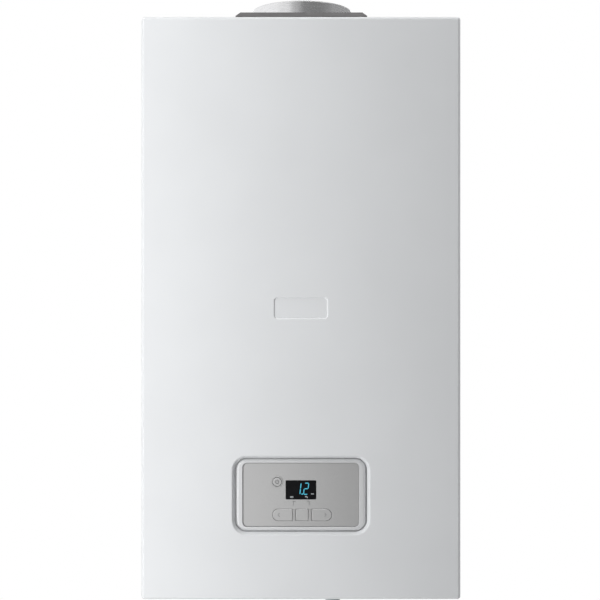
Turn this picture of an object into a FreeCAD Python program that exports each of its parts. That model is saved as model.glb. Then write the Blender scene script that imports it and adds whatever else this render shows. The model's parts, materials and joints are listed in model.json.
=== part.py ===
import FreeCAD, Part
import math
import os
from types import SimpleNamespace

import Sketcher
from FreeCAD import Placement, Rotation, Vector

# Wall-hung condensing gas boiler, in millimetres.
# X runs to the right, Y to the wall and Z up. The origin lies on the wall, midway between the two wall bolts.

# The driving sizes. Each one fills a cell of the sheet and gives the cell its alias.
SIZES = {
    # casing and its removable front cover
    "casing_width": 400,
    "casing_height": 730,
    "casing_depth": 300,
    "casing_sheet": 1.0,
    "cover_depth": 60,
    "cover_edge_radius": 4,
    "cover_lip": 10,
    "cover_seam": 1.5,
    "gasket_play": 0.3,
    "panel_flange": 14,
    "tray_depth": 14,
    "bolt_from_roof": 80,
    "stud_radius": 3,
    "stud_head_radius": 4.5,
    "stud_reach": 14,
    "stud_from_corner": 110,
    "stud_play": 0.4,
    # recess for the controls, and the blank badge
    "control_height": 130.5,
    "recess_width": 172,
    "recess_height": 98.6,
    "recess_radius": 18,
    "recess_slope": 3,
    "recess_depth": 6,
    "recess_rim": 2,
    "badge_width": 68,
    "badge_height": 28,
    "badge_radius": 5,
    "badge_slope": 1.6,
    "badge_depth": 1.4,
    # wall bracket
    "bracket_width": 320,
    "bracket_height": 50,
    "bracket_thickness": 3,
    "bolt_spacing": 260,
    "bolt_slot_width": 9,
    "bolt_slot_length": 22,
    "hook_spacing": 150,
    "hook_width": 40,
    "hook_reach": 20,
    "hook_lip": 15,
    "hook_play": 2,
    # flue outlet on the roof
    "flue_inset": 47,
    "flue_base_width": 173,
    "flue_base_height": 25,
    "flue_base_chamfer": 6,
    "flue_base_wall": 3,
    "air_chamber_radius": 78,
    "base_screw_radius": 2,
    "base_screw_head": 4.5,
    "base_screw_head_height": 3,
    "base_screw_sink": 5,
    "base_screw_inset": 12,
    "collar_radius": 68,
    "collar_wall": 3,
    "collar_height": 19,
    "collar_step": 1.2,
    "collar_bead": 2.5,
    "socket_bore": 40.3,
    "socket_wall": 2.5,
    "socket_stop": 2.5,
    "duct_step": 3,
    "socket_above_roof": 38,
    "socket_below_roof": 30,
    "socket_grip": 20,
    "seal_groove": 1.7,
    "seal_height": 6,
    "seal_below_rim": 6,
    "spoke_thickness": 2.5,
    "spoke_height": 12,
    "duct_wall": 2,
    "fit_gap": 0.2,
    # heat cell
    "vessel_cell_gap": 3,
    "exchanger_wall": 3,
    "exchanger_standoff": 31,
    "chimney_wall": 4,
    "chimney_rise": 14,
    "water_stub_radius": 12,
    "water_stub_setback": 38,
    "water_stub_drop": 20,
    "drain_radius": 12,
    "drain_drop": 13,
    "core_play": 9,
    "core_depth": 18,
    "core_groove": 8,
    "core_front_gap": 53,
    "door_overhang": 6,
    "door_thickness": 12,
    "door_rim": 4,
    "door_nut_radius": 7,
    "door_nut_height": 7,
    "door_stud_radius": 3,
    "door_nut_inset": 10,
    "burner_radius": 36,
    "burner_end_gap": 35,
    "burner_flange": 8,
    "burner_wall": 1.5,
    "electrode_radius": 5,
    "electrode_base_radius": 7,
    "electrode_length": 18,
    "electrode_spacing": 26,
    "bracket_block_width": 44,
    "bracket_block_height": 24,
    # fan, gas and air
    "fan_radius": 66,
    "fan_depth": 50,
    "fan_wall": 3,
    "fan_roof_gap": 24,
    "fan_door_gap": 8,
    "fan_cell_gap": 28,
    "fan_motor_radius": 38,
    "fan_motor_length": 40,
    "fan_outlet_width": 50,
    "fan_inlet_radius": 24,
    "fan_shaft_radius": 4,
    "fan_impeller_radius": 54,
    "fan_impeller_play": 4,
    "fan_hub_thickness": 4,
    "running_gap": 0.06,
    "mixture_radius": 20,
    "mixture_wall": 3,
    "mixture_bend": 26,
    "mixture_flange": 4,
    "mixture_port_gap": 6.9,
    "mixture_leg": 46,
    "venturi_radius": 34,
    "venturi_length": 30,
    "venturi_front_gap": 15,
    "venturi_port_radius": 14,
    "venturi_port_bore": 11.5,
    "venturi_port_reach": 10,
    "venturi_boss_radius": 10,
    "venturi_boss_reach": 7,
    "silencer_width": 140,
    "silencer_depth": 48,
    "silencer_height": 68,
    "silencer_radius": 12,
    "silencer_wall": 3,
    "silencer_mouth": 16,
    "silencer_gap": 26,
    "spigot_grip": 9,
    "gas_valve_width": 60,
    "gas_valve_depth": 66,
    "gas_valve_height": 80,
    "gas_valve_side_gap": 19,
    "gas_valve_front_gap": 16,
    "gas_valve_below_fan": 129,
    "gas_coil_radius": 17,
    "gas_coil_length": 24,
    "gas_coil_gap": 3,
    "gas_pipe_radius": 9,
    "gas_feed_radius": 7,
    "pipe_wall": 1,
    # water side
    "vessel_width": 68,
    "vessel_front_gap": 13.5,
    "vessel_height": 350,
    "vessel_radius": 20,
    "vessel_side_gap": 7,
    "vessel_roof_gap": 26,
    "vessel_wall": 1.5,
    "vessel_rim": 3,
    "vessel_rim_thickness": 4,
    "hose_radius": 6,
    "hose_wall": 1.5,
    "block_floor_gap": 60,
    "block_height": 95,
    "block_width": 74,
    "block_side_gap": 30,
    "block_from_back": 21,
    "return_block_depth": 60,
    "flow_block_depth": 115,
    "block_edge": 4,
    "plate_depth": 42,
    "plate_height": 72,
    "plate_pitch": 6,
    "plate_groove": 2,
    "pump_radius": 48,
    "pump_housing_depth": 46,
    "pump_chamber_radius": 36,
    "pump_wall": 5,
    "pump_motor_radius": 43,
    "pump_carrier_gap": 8,
    "pump_shaft_radius": 4,
    "pump_impeller_radius": 30,
    "pump_impeller_play": 3,
    "pump_hub_thickness": 5,
    "pump_inlet_radius": 17,
    "pump_inlet_reach": 12,
    "copper_radius": 9,
    "water_pipe_radius": 7.5,
    "tap_pump_gap": 10.5,
    "tap_below": 28,
    "tap_thread_length": 18,
    "heating_thread_radius": 13.22,
    "water_thread_radius": 10.48,
    "gas_thread_radius": 13.22,
    "tap_hex_height": 9,
    "tap_hex_extra": 4,
    "tap_hole_play": 3,
    "dhw_rise": 46,
    "dhw_bend": 20,
    "actuator_width": 46,
    "actuator_depth": 40,
    "actuator_height": 50,
    "actuator_up": 60,
    "actuator_radius": 6,
    "bonnet_radius": 12,
    "bonnet_length": 8,
    "spindle_radius": 3,
    "spindle_in_block": 22,
    "spindle_in_motor": 30,
    "spindle_travel": 6,
    "relief_up": 18,
    "relief_inset": 22,
    "relief_radius": 13,
    "relief_length": 34,
    "relief_stem_radius": 5,
    "relief_stem_length": 16,
    "relief_pipe_radius": 7.5,
    "relief_boss": 3,
    "relief_knob_radius": 14,
    "relief_knob_length": 22,
    "relief_knob_gap": 2,
    "knob_flute": 2.2,
    # condensate
    "trap_carrier_gap": 23,
    "trap_pipe_gap": 3,
    "trap_radius": 27,
    "trap_cup_radius": 30,
    "trap_wall": 2.5,
    "trap_block_gap": 5,
    "trap_neck_radius": 14,
    "trap_neck_height": 12,
    "trap_outlet_radius": 10.5,
    "condensate_radius": 12,
    # controls
    "control_box_depth": 56,
    "carrier_width": 200,
    "carrier_height": 188,
    "carrier_foot": 18,
    "control_box_width": 186,
    "control_box_height": 106,
    "control_box_wall": 2,
    "bezel_flange": 2,
    "bezel_front_gap": 4,
    "bezel_width": 163,
    "bezel_height": 90.6,
    "bezel_radius": 13,
    "bezel_crown": 3.6,
    "bezel_lip": 0.6,
    "cover_bezel_gap": 2,
    "fascia_width": 146.4,
    "fascia_height": 80.4,
    "fascia_radius": 6,
    "fascia_thickness": 2.5,
    "fascia_sink": 1.8,
    "fascia_edge": 0.7,
    "fascia_lip": 0.5,
    "fascia_ledge": 3,
    "fascia_gap": 0.3,
    "screen_width": 38.6,
    "screen_height": 24.2,
    "screen_radius": 1.4,
    "screen_up": 6.1,
    "screen_sink": 0.3,
    "board_thickness": 1.6,
    "board_behind": 3.4,
    "button_gap": 0.3,
    "button_proud": 0.8,
    "button_corner": 1,
    "button_crown": 0.6,
    "button_flange": 1.2,
    "button_flange_thickness": 0.8,
    "button_row_down": 25.2,
    "button_row_right": 1.4,
    "button_row_height": 14.2,
    "centre_button_width": 15.6,
    "side_button_width": 24.8,
    "button_spacing": 4.4,
    "reset_radius": 5.5,
    "reset_left": 29.9,
    "reset_up": 16.2,
    # gland for the mains lead
    "gland_bore": 4,
    "gland_radius": 8,
    "gland_flange": 12,
    "gland_nut": 5,
    "gland_drop": 14,
    "gland_inset": 40,
    # one overrun for every cut
    "overrun": 5,
}

# Counts and shares, which carry no length.
DOOR_NUTS = 6
CORE_RIBS = 11
FAN_BLADES = 14
PUMP_BLADES = 6
KNOB_FLUTES = 10
SPOKES = 3
FULL_TURN = 360
HALF_RUN_SHARE = 0.45
TOUCH = 1e-6
FAN_FLUE_SHARE = 0.4
WATER_STUB_SHARE = 0.536
PORT_SIDE_SHARE = 0.956
PORT_UP_SHARE = math.sqrt(1 - PORT_SIDE_SHARE**2)
TRAP_HEIGHT_SHARE = 0.62
PARALLEL_SHARE = 0.999
LOST_VOLUME_SHARE = 0.01
BEND_RADII = 3
GAS_RISE_SHARE, GAS_ACROSS_SHARE = 0.3, 0.55
GAS_FORWARD_SHARE, GAS_LEVEL_SHARE = 0.2, 0.35
COPPER_RISE_SHARE, COPPER_ACROSS_SHARE = 0.45, 0.75
VESSEL_DROP_SHARES = (0.3, 0.55, 0.78)
VESSEL_ACROSS_SHARE = 0.6
DRAIN_DROP_SHARES = (0.3, 0.65)
HEX_ANGLES = [math.radians(60 * k) for k in range(6)]

doc = FreeCAD.newDocument("Boiler")
sheet = doc.addObject("Spreadsheet::Sheet", "Sizes")
for row, (alias, amount) in enumerate(SIZES.items(), 1):
    sheet.set(f"A{row}", alias)
    sheet.set(f"B{row}", str(amount))
    sheet.setAlias(f"B{row}", alias)
doc.recompute()


class Size:
    """A length from the sheet, or a sum of such lengths, that carries its own expression."""

    def __init__(self, value, text):
        self.value = value
        self.text = text

    def __add__(self, other):
        return Size(self.value + number(other), f"({self.text} + {formula(other)})")

    def __sub__(self, other):
        return Size(self.value - number(other), f"({self.text} - {formula(other)})")

    def __mul__(self, factor):
        return Size(self.value * number(factor), f"({self.text} * {formula(factor)})")

    def __truediv__(self, divisor):
        return Size(self.value / number(divisor), f"({self.text} / {formula(divisor)})")

    def __neg__(self):
        return Size(-self.value, f"(-1 * {self.text})")

    def __rmul__(self, factor):
        return self * factor

    def __radd__(self, other):
        return self + other

    def __rsub__(self, other):
        return -self + other


def number(x):
    return x.value if isinstance(x, Size) else float(x)


def formula(x):
    return x.text if isinstance(x, Size) else f"({x!r})"


S = SimpleNamespace(**{alias: Size(float(sheet.get(alias)), f"Sizes.{alias}") for alias in SIZES})

# Turns that point a piece's own Z axis along one way of the boiler.
TURNS = {
    "up": Rotation(),
    "down": Rotation(Vector(1, 0, 0), 180),
    "front": Rotation(Vector(1, 0, 0), 90),
    "back": Rotation(Vector(1, 0, 0), -90),
    "right": Rotation(Vector(0, 1, 0), 90),
    "left": Rotation(Vector(0, 1, 0), -90),
}
SUBPARTS = []


def vector(point):
    return Vector(*[number(c) for c in point])


def bind(thing, prop, x):
    if isinstance(x, Size):
        thing.setExpression(prop, x.text)


def put(thing, at, facing="up"):
    """Places a thing by expressions, with its own Z axis turned to face one way."""
    thing.Placement = Placement(vector(at), TURNS[facing])
    for axis, c in zip("xyz", at):
        bind(thing, f"Placement.Base.{axis}", c)
    return thing


def keep(thing, label):
    """Registers a finished sub-part under the name of its file."""
    thing.Label = label
    SUBPARTS.append(thing)
    return thing


# Part primitives and booleans


def box(name, corner, size):
    thing = doc.addObject("Part::Box", name)
    for prop, length in zip(("Length", "Width", "Height"), size):
        bind(thing, prop, length)
    return put(thing, corner)


def block(name, centre, size):
    """A box by the middle of its lower face."""
    corner = (centre[0] - size[0] / 2, centre[1] - size[1] / 2, centre[2])
    return box(name, corner, size)


def rod(name, radius, length, at, facing="up"):
    thing = doc.addObject("Part::Cylinder", name)
    bind(thing, "Radius", radius)
    bind(thing, "Height", length)
    return put(thing, at, facing)


def join(name, *things):
    made = doc.addObject("Part::MultiFuse", name)
    made.Shapes = list(things)
    made.Refine = True
    return made


def less(name, base, *tools):
    made = doc.addObject("Part::Cut", name)
    made.Base = base
    made.Tool = tools[0] if len(tools) == 1 else join(name + "_tools", *tools)
    made.Refine = True
    return made


def rounded(name, base, radius, chosen):
    """A primitive with the edges that chosen() picks rounded to one radius."""
    doc.recompute()
    made = doc.addObject("Part::Fillet", name)
    made.Base = base
    picked = [i for i, edge in enumerate(base.Shape.Edges, 1) if chosen(edge)]
    made.Edges = [(i, number(radius), number(radius)) for i in picked]
    return made


def group(name, *things):
    """Separate solids that share one node."""
    made = doc.addObject("Part::Compound", name)
    made.Links = list(things)
    return made


def solid(name, shape):
    thing = doc.addObject("Part::Feature", name)
    thing.Shape = shape
    return thing


# Bodies with sketches and features


def body(name, at=(0, 0, 0), facing="up"):
    return put(doc.addObject("PartDesign::Body", name), at, facing)


def sketch(of, plane="XY_Plane", lift=0):
    made = of.newObject("Sketcher::SketchObject", of.Name + "_sketch")
    origin_plane = next(f for f in of.Origin.OriginFeatures if f.Role == plane)
    made.AttachmentSupport = [(origin_plane, "")]
    made.MapMode = "FlatFace"
    made.AttachmentOffset = Placement(Vector(0, 0, number(lift)), Rotation())
    bind(made, "AttachmentOffset.Base.z", lift)
    return made


def hold(made, geometry, end, point):
    """Ties one end of a sketch line or arc to a point given by expressions."""
    for kind, c in zip(("DistanceX", "DistanceY"), point):
        index = made.addConstraint(Sketcher.Constraint(kind, geometry, end, number(c)))
        bind(made, f"Constraints[{index}]", c)


def polygon(made, points):
    corners = [Vector(number(x), number(y), 0) for x, y in points]
    count = len(points)
    lines = []
    for i in range(count):
        lines.append(made.addGeometry(Part.LineSegment(corners[i], corners[(i + 1) % count])))
    for i in range(count):
        made.addConstraint(Sketcher.Constraint("Coincident", lines[i], 2, lines[(i + 1) % count], 1))
        hold(made, lines[i], 1, points[i])
    return made


def rectangle(made, width, height, centre=(0, 0)):
    left, right = width / -2 + centre[0], width / 2 + centre[0]
    low, high = height / -2 + centre[1], height / 2 + centre[1]
    return polygon(made, [(left, low), (right, low), (right, high), (left, high)])


def circle(made, radius, centre=(0, 0)):
    ring = made.addGeometry(
        Part.Circle(Vector(number(centre[0]), number(centre[1]), 0), Vector(0, 0, 1), number(radius))
    )
    index = made.addConstraint(Sketcher.Constraint("Radius", ring, number(radius)))
    bind(made, f"Constraints[{index}]", radius)
    hold(made, ring, 3, centre)
    return made


def outline(made, stations):
    """A closed outline of straight runs and tangent arcs: each station is a corner and its radius, or 0."""
    count = len(stations)
    corners = [Vector(number(x), number(y), 0) for x, y, _ in stations]
    ends = []
    for i, (x, y, radius) in enumerate(stations):
        before = (corners[i - 1] - corners[i]).normalize()
        after = (corners[(i + 1) % count] - corners[i]).normalize()
        half = before.getAngle(after) / 2
        reach = number(radius) / math.tan(half)
        ends.append((corners[i] + before * reach, corners[i] + after * reach, before, after, half))
    for i, (x, y, radius) in enumerate(stations):
        start, stop, before, after, half = ends[i]
        reach_share = 1 / math.tan(half)
        arc_points = []
        for way in (before, after):
            arc_points.append((x + radius * (reach_share * way.x), y + radius * (reach_share * way.y)))
        if number(radius):
            bisector = (before + after).normalize()
            centre = corners[i] + bisector * (number(radius) / math.sin(half))
            middle = centre - bisector * number(radius)
            arc = made.addGeometry(Part.Arc(start, middle, stop))
            first_end = 1 if (made.Geometry[arc].StartPoint - start).Length < (
                made.Geometry[arc].EndPoint - start
            ).Length else 2
            hold(made, arc, first_end, arc_points[0])
            hold(made, arc, 3 - first_end, arc_points[1])
            index = made.addConstraint(Sketcher.Constraint("Radius", arc, number(radius)))
            bind(made, f"Constraints[{index}]", radius)
        following = ends[(i + 1) % count][0]
        line = made.addGeometry(Part.LineSegment(stop, following))
        hold(made, line, 1, arc_points[1])
        x2, y2, radius2 = stations[(i + 1) % count]
        before2, half2 = ends[(i + 1) % count][2], ends[(i + 1) % count][4]
        hold(
            made,
            line,
            2,
            (x2 + radius2 * (before2.x / math.tan(half2)), y2 + radius2 * (before2.y / math.tan(half2))),
        )
    return made


def soft_rectangle(made, width, height, radius, centre=(0, 0)):
    left, right = width / -2 + centre[0], width / 2 + centre[0]
    low, high = height / -2 + centre[1], height / 2 + centre[1]
    return outline(
        made, [(left, low, radius), (right, low, radius), (right, high, radius), (left, high, radius)]
    )


def pad(of, profile, length):
    made = of.newObject("PartDesign::Pad", of.Name + "_pad")
    made.Profile = profile
    bind(made, "Length", length)
    return made


def pocket(of, profile, depth, towards=-1):
    """Cuts a profile down its sketch's normal, or up with towards=1, and checks that something went."""
    doc.recompute()
    volume = of.Shape.Volume
    made = of.newObject("PartDesign::Pocket", of.Name + "_pocket")
    made.Profile = profile
    made.Reversed = towards > 0
    bind(made, "Length", depth)
    doc.recompute()
    if of.Shape.Volume >= volume:
        raise RuntimeError(f"a pocket of {of.Name} cuts nothing")
    return made


def revolve(of, profile):
    made = of.newObject("PartDesign::Revolution", of.Name + "_revolution")
    made.Profile = profile
    made.ReferenceAxis = (profile, ["V_Axis"])
    made.Angle = FULL_TURN
    return made


def loft(of, kind, first, second):
    made = of.newObject(f"PartDesign::{kind}Loft", f"{of.Name}_{kind}")
    made.Profile = first
    made.Sections = [second]
    made.Ruled = True
    return made


def spin(of, feature, count):
    made = of.newObject("PartDesign::PolarPattern", of.Name + "_pattern")
    made.Originals = [feature]
    made.Axis = (next(f for f in of.Origin.OriginFeatures if f.Role == "Z_Axis"), [""])
    made.Angle = FULL_TURN
    made.Occurrences = count
    of.Tip = made
    return made


def soften(of, kind, size, chosen):
    """A fillet or chamfer on the edges that chosen() picks from the body's last feature."""
    doc.recompute()
    base = of.Tip
    made = of.newObject(f"PartDesign::{kind}", f"{of.Name}_{kind}")
    made.Base = (base, [f"Edge{i}" for i, edge in enumerate(base.Shape.Edges, 1) if chosen(edge)])
    bind(made, "Radius" if kind == "Fillet" else "Size", size)
    return made


def turned(name, profile, at, facing="up"):
    """A turned piece: (radius, height) points, spun about its own Z axis."""
    made = body(name, at, facing)
    revolve(made, polygon(sketch(made, "XZ_Plane"), profile))
    return made


def near(a, b):
    return abs(a - number(b)) < TOUCH


def runs_along(axis):
    """Picks straight edges along one axis."""
    return lambda edge: edge.Curve.TypeId == "Part::GeomLine" and abs(
        getattr(edge.tangentAt(edge.FirstParameter), axis)
    ) > PARALLEL_SHARE


def lies_at(axis, height):
    """Picks edges that lie in the plane at one height on an axis."""
    low, high = axis.upper() + "Min", axis.upper() + "Max"
    return lambda edge: near(getattr(edge.BoundBox, low), height) and near(
        getattr(edge.BoundBox, high), height
    )


def inside(half_width, half_height):
    """Picks edges whose middle lies within a rectangle about the piece's own axis."""
    wide, tall = number(half_width) + TOUCH, number(half_height) + TOUCH
    return lambda edge: abs(edge.BoundBox.Center.x) < wide and abs(edge.BoundBox.Center.y) < tall


def either(*picks):
    return lambda edge: any(pick(edge) for pick in picks)


# Pipes along straight runs and tangent arcs


def run_wire(corners, bend):
    """A wire through the corners with an arc of one radius at each turn."""
    edges, start = [], corners[0]
    for before, corner, after in zip(corners, corners[1:], corners[2:]):
        into, out = (before - corner).normalize(), (after - corner).normalize()
        half = into.getAngle(out) / 2
        shorter = min((before - corner).Length, (after - corner).Length)
        radius = bend if bend else HALF_RUN_SHARE * shorter * math.tan(half)
        reach = radius / math.tan(half)
        bisector = (into + out).normalize()
        middle = corner + bisector * (radius / math.sin(half) - radius)
        first, last = corner + into * reach, corner + out * reach
        edges.append(Part.LineSegment(start, first).toShape())
        edges.append(Part.Arc(first, middle, last).toShape())
        start = last
    edges.append(Part.LineSegment(start, corners[-1]).toShape())
    return Part.Wire(edges)


def swept(wire, radius):
    start = wire.Edges[0]
    way = start.tangentAt(start.FirstParameter)
    profile = Part.Wire(Part.makeCircle(radius, wire.Vertexes[0].Point, way))
    return wire.makePipeShell([profile], True, False)


def pipe(name, points, radius, wall, bend=0):
    """A tube along the points. With no bend radius given, each arc is as large as its runs allow."""
    wire = run_wire([vector(p) for p in points], number(bend))
    outer = swept(wire, number(radius))
    inner = swept(wire, number(radius) - number(wall))
    shape = outer.cut(inner)
    expected = math.pi * (number(radius) ** 2 - (number(radius) - number(wall)) ** 2) * wire.Length
    if abs(shape.Volume - expected) > LOST_VOLUME_SHARE * expected:
        raise RuntimeError(f"{name} has lost volume along its path")
    return solid(name, shape)


def between(a, b, share):
    """The point at one share of the way from a to b."""
    return a + (b - a) * share


# Datums that several pieces share

ROOF = S.bolt_from_roof
FLOOR = ROOF - S.casing_height
HALF_WIDTH = S.casing_width / 2
INNER_WIDTH = S.casing_width - 2 * S.casing_sheet
INNER_HALF = INNER_WIDTH / 2
FRONT = -S.casing_depth
COVER_BACK = FRONT + S.cover_depth
PANEL_FRONT = COVER_BACK + S.cover_seam
TRAY_FRONT = -S.tray_depth
CONTROL_Z = FLOOR + S.control_height

# The fan, the door and the heat cell stack up from the cover to the wall, and the cell takes what is left.
FAN_FRONT = FRONT + S.venturi_front_gap + S.venturi_length
FAN_BACK = FAN_FRONT + S.fan_depth
DOOR_FRONT = FAN_BACK + S.fan_door_gap
CELL_FRONT = DOOR_FRONT + S.door_thickness
CELL_BACK = TRAY_FRONT - S.exchanger_standoff
CELL_LENGTH = CELL_BACK - CELL_FRONT
VESSEL_X = INNER_HALF - S.vessel_side_gap - S.vessel_rim - S.vessel_width / 2
VESSEL_DEPTH = CELL_BACK - PANEL_FRONT - S.vessel_front_gap
CELL_RADIUS = VESSEL_X - S.vessel_width / 2 - S.vessel_cell_gap - S.door_overhang
DISH_RADIUS = CELL_RADIUS + S.door_overhang - 2 * S.door_nut_inset

# The flue rises from the front of the cell. The fan hangs under the roof, left of the flue.
FLUE_Y = CELL_FRONT + S.flue_inset
SOCKET_OUTER = S.socket_bore + S.socket_wall
DUCT_RADIUS = S.socket_bore - S.duct_step
CHIMNEY_RADIUS = DUCT_RADIUS + S.fit_gap + S.chimney_wall
FAN_SPARE = INNER_HALF - CHIMNEY_RADIUS - S.fan_motor_radius - S.fan_radius
FAN_X = -(CHIMNEY_RADIUS + S.fan_motor_radius + FAN_SPARE * FAN_FLUE_SHARE)
FAN_Z = ROOF - S.fan_roof_gap - S.fan_radius
CELL_Z = FAN_Z - CELL_RADIUS - S.fan_cell_gap
PORT_REACH = DISH_RADIUS - S.mixture_radius - S.mixture_flange - S.mixture_port_gap
PORT_X = -PORT_REACH * PORT_SIDE_SHARE
PORT_UP = PORT_REACH * PORT_UP_SHARE
FAN_OUTLET_DROP = FAN_Z - CELL_Z - PORT_UP - S.mixture_leg

# The controls hang behind the cover's recess, and the water side fills the room behind them.
BEZEL_BACK = FRONT + S.recess_depth + S.cover_bezel_gap + S.bezel_flange
CARRIER_FRONT = BEZEL_BACK + S.control_box_depth
CARRIER_BACK = CARRIER_FRONT + S.casing_sheet
BLOCK_LOW = FLOOR + S.block_floor_gap
BLOCK_HIGH = BLOCK_LOW + S.block_height
BLOCK_BACK = TRAY_FRONT - S.block_from_back
BLOCK_INNER = INNER_HALF - S.block_side_gap - S.block_width
BLOCK_X = BLOCK_INNER + S.block_width / 2
PUMP_BACK = BLOCK_BACK - S.return_block_depth
PUMP_FRONT = PUMP_BACK - S.pump_housing_depth
PUMP_MOTOR_LENGTH = PUMP_FRONT - CARRIER_BACK - S.pump_carrier_gap
PUMP_Z = BLOCK_LOW + S.pump_radius
TAP_X = BLOCK_X - S.pump_radius - S.water_pipe_radius - S.tap_pump_gap
TAP_Y = PUMP_BACK - S.pump_housing_depth / 2
TAP_LOW = FLOOR - S.tap_below
DRAIN_Z = CELL_Z - CELL_RADIUS - S.drain_drop
TRAP_X = S.gas_pipe_radius + S.trap_pipe_gap + S.trap_cup_radius
TRAP_Y = CARRIER_BACK + S.trap_carrier_gap + S.trap_cup_radius
TRAP_LOW = BLOCK_HIGH + S.trap_block_gap
TRAP_HEIGHT = (DRAIN_Z - BLOCK_HIGH) * TRAP_HEIGHT_SHARE
GLAND_X = INNER_HALF - S.gland_inset
GLAND_Y = PANEL_FRONT + S.gland_inset


# Chassis


def back_frame():
    """Folded tray that hangs on the bracket, open to the wall."""
    low = FLOOR + S.casing_sheet
    height = S.casing_height - 2 * S.casing_sheet
    tray = box("tray", (-INNER_HALF, TRAY_FRONT, low), (INNER_WIDTH, S.tray_depth, height))
    hollow = box(
        "tray_hollow",
        (-INNER_HALF + S.casing_sheet, TRAY_FRONT + S.casing_sheet, low + S.casing_sheet),
        (INNER_WIDTH - 2 * S.casing_sheet, S.tray_depth + S.overrun, height - 2 * S.casing_sheet),
    )
    slot_size = (
        S.hook_width + 2 * S.hook_play,
        S.casing_sheet + 2 * S.overrun,
        S.hook_lip + S.bracket_thickness + S.hook_play,
    )
    slots = []
    for name, side in (("left_hook_slot", -1), ("right_hook_slot", 1)):
        corner = (
            S.hook_spacing * (side / 2) - slot_size[0] / 2,
            TRAY_FRONT - S.overrun,
            S.bracket_height / 2 - slot_size[2],
        )
        slots.append(box(name, corner, slot_size))
    keep(less("back_frame", tray, hollow, *slots), "back_frame")


def wall_bracket():
    """Steel rail with two slotted bolt holes and two upturned hooks."""
    rail = body("rail", (0, 0, 0), "front")
    pad(rail, rectangle(sketch(rail), S.bracket_width, S.bracket_height), S.bracket_thickness)
    half_run = (S.bolt_slot_length - S.bolt_slot_width) / 2
    for side in (-1, 1):
        x = S.bolt_spacing * (side / 2)
        profile = sketch(rail, lift=S.bracket_thickness)
        rectangle(profile, half_run * 2, S.bolt_slot_width, (x, 0))
        pocket(rail, profile, S.bracket_thickness + S.overrun)
        for end in (-1, 1):
            profile = circle(
                sketch(rail, lift=S.bracket_thickness), S.bolt_slot_width / 2, (x + half_run * end, 0)
            )
            pocket(rail, profile, S.bracket_thickness + S.overrun)
    hooks = []
    for side in (-1, 1):
        x = S.hook_spacing * (side / 2)
        top = S.bracket_height / 2
        tab_size = (S.hook_width, S.hook_reach - S.bracket_thickness, S.bracket_thickness)
        hooks.append(
            box("hook_tab", (x - S.hook_width / 2, -S.hook_reach, top - S.bracket_thickness), tab_size)
        )
        lip_size = (S.hook_width, S.bracket_thickness, S.hook_lip)
        hooks.append(box("hook_lip", (x - S.hook_width / 2, -S.hook_reach, top), lip_size))
    keep(join("wall_bracket", rail, *hooks), "wall_bracket")


def side_panels():
    """Two folded side sheets with an inward flange for the cover's gasket."""
    left = body("left_panel", (0, 0, FLOOR))
    profile = [
        (-HALF_WIDTH, 0),
        (-HALF_WIDTH, PANEL_FRONT),
        (-INNER_HALF + S.panel_flange, PANEL_FRONT),
        (-INNER_HALF + S.panel_flange, PANEL_FRONT + S.casing_sheet),
        (-INNER_HALF, PANEL_FRONT + S.casing_sheet),
        (-INNER_HALF, 0),
    ]
    pad(left, polygon(sketch(left), profile), S.casing_height)
    holes = []
    for name, z in stud_heights():
        at = (-stud_x(), PANEL_FRONT - S.overrun, z)
        holes.append(
            rod(
                name + "_stud_hole",
                S.stud_radius + S.stud_play,
                S.casing_sheet + 2 * S.overrun,
                at,
                "back",
            )
        )
    panel = keep(less("left_side_panel", left, *holes), "left_side_panel")
    other = doc.addObject("Part::Mirroring", "right_side_panel")
    other.Source = panel
    other.Normal = Vector(1, 0, 0)
    keep(other, "right_side_panel")


def stud_x():
    return INNER_HALF - S.cover_lip / 2


def stud_heights():
    return ("low", FLOOR + S.stud_from_corner), ("high", ROOF - S.stud_from_corner)


def cap_panel(name, z, flange_side):
    """The roof or floor sheet between the side panels, with a flange along its front."""
    front = PANEL_FRONT + S.casing_sheet
    plate = box(name + "_plate", (-INNER_HALF, front, z), (INNER_WIDTH, -front, S.casing_sheet))
    flange_low = z - S.panel_flange if flange_side < 0 else z
    inner = INNER_WIDTH - 2 * S.panel_flange
    size = (inner, S.casing_sheet, S.panel_flange + S.casing_sheet)
    flange = box(name + "_flange", (inner / -2, PANEL_FRONT, flange_low), size)
    return join(name + "_folded", plate, flange)


def screw_places():
    reach = S.flue_base_width / 2 - S.base_screw_inset
    return [(reach * i, FLUE_Y + reach * j) for i in (-1, 1) for j in (-1, 1)]


def top_panel():
    z = ROOF - S.casing_sheet
    length = S.casing_sheet + 2 * S.overrun
    holes = [rod("roof_air_hole", S.air_chamber_radius, length, (0, FLUE_Y, z - S.overrun))]
    for x, y in screw_places():
        holes.append(
            rod("roof_screw_hole", S.base_screw_radius + S.fit_gap, length, (x, y, z - S.overrun))
        )
    keep(less("top_panel", cap_panel("roof", z, -1), *holes), "top_panel")


def bottom_panel():
    length = S.casing_sheet + 2 * S.overrun
    low = FLOOR - S.overrun
    holes = []
    for x, radius in tap_places():
        holes.append(rod("floor_tap_hole", radius + S.tap_hole_play, length, (x, TAP_Y, low)))
    holes.append(
        rod("floor_drain_hole", S.trap_outlet_radius + S.tap_hole_play, length, (TRAP_X, TRAP_Y, low))
    )
    holes.append(rod("floor_gland_hole", S.gland_radius + S.fit_gap, length, (GLAND_X, GLAND_Y, low)))
    relief_x, relief_y = relief_pipe_place()
    holes.append(
        rod(
            "floor_relief_hole", S.relief_pipe_radius + S.tap_hole_play, length, (relief_x, relief_y, low)
        )
    )
    keep(less("bottom_panel", cap_panel("floor", FLOOR, 1), *holes), "bottom_panel")


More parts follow.
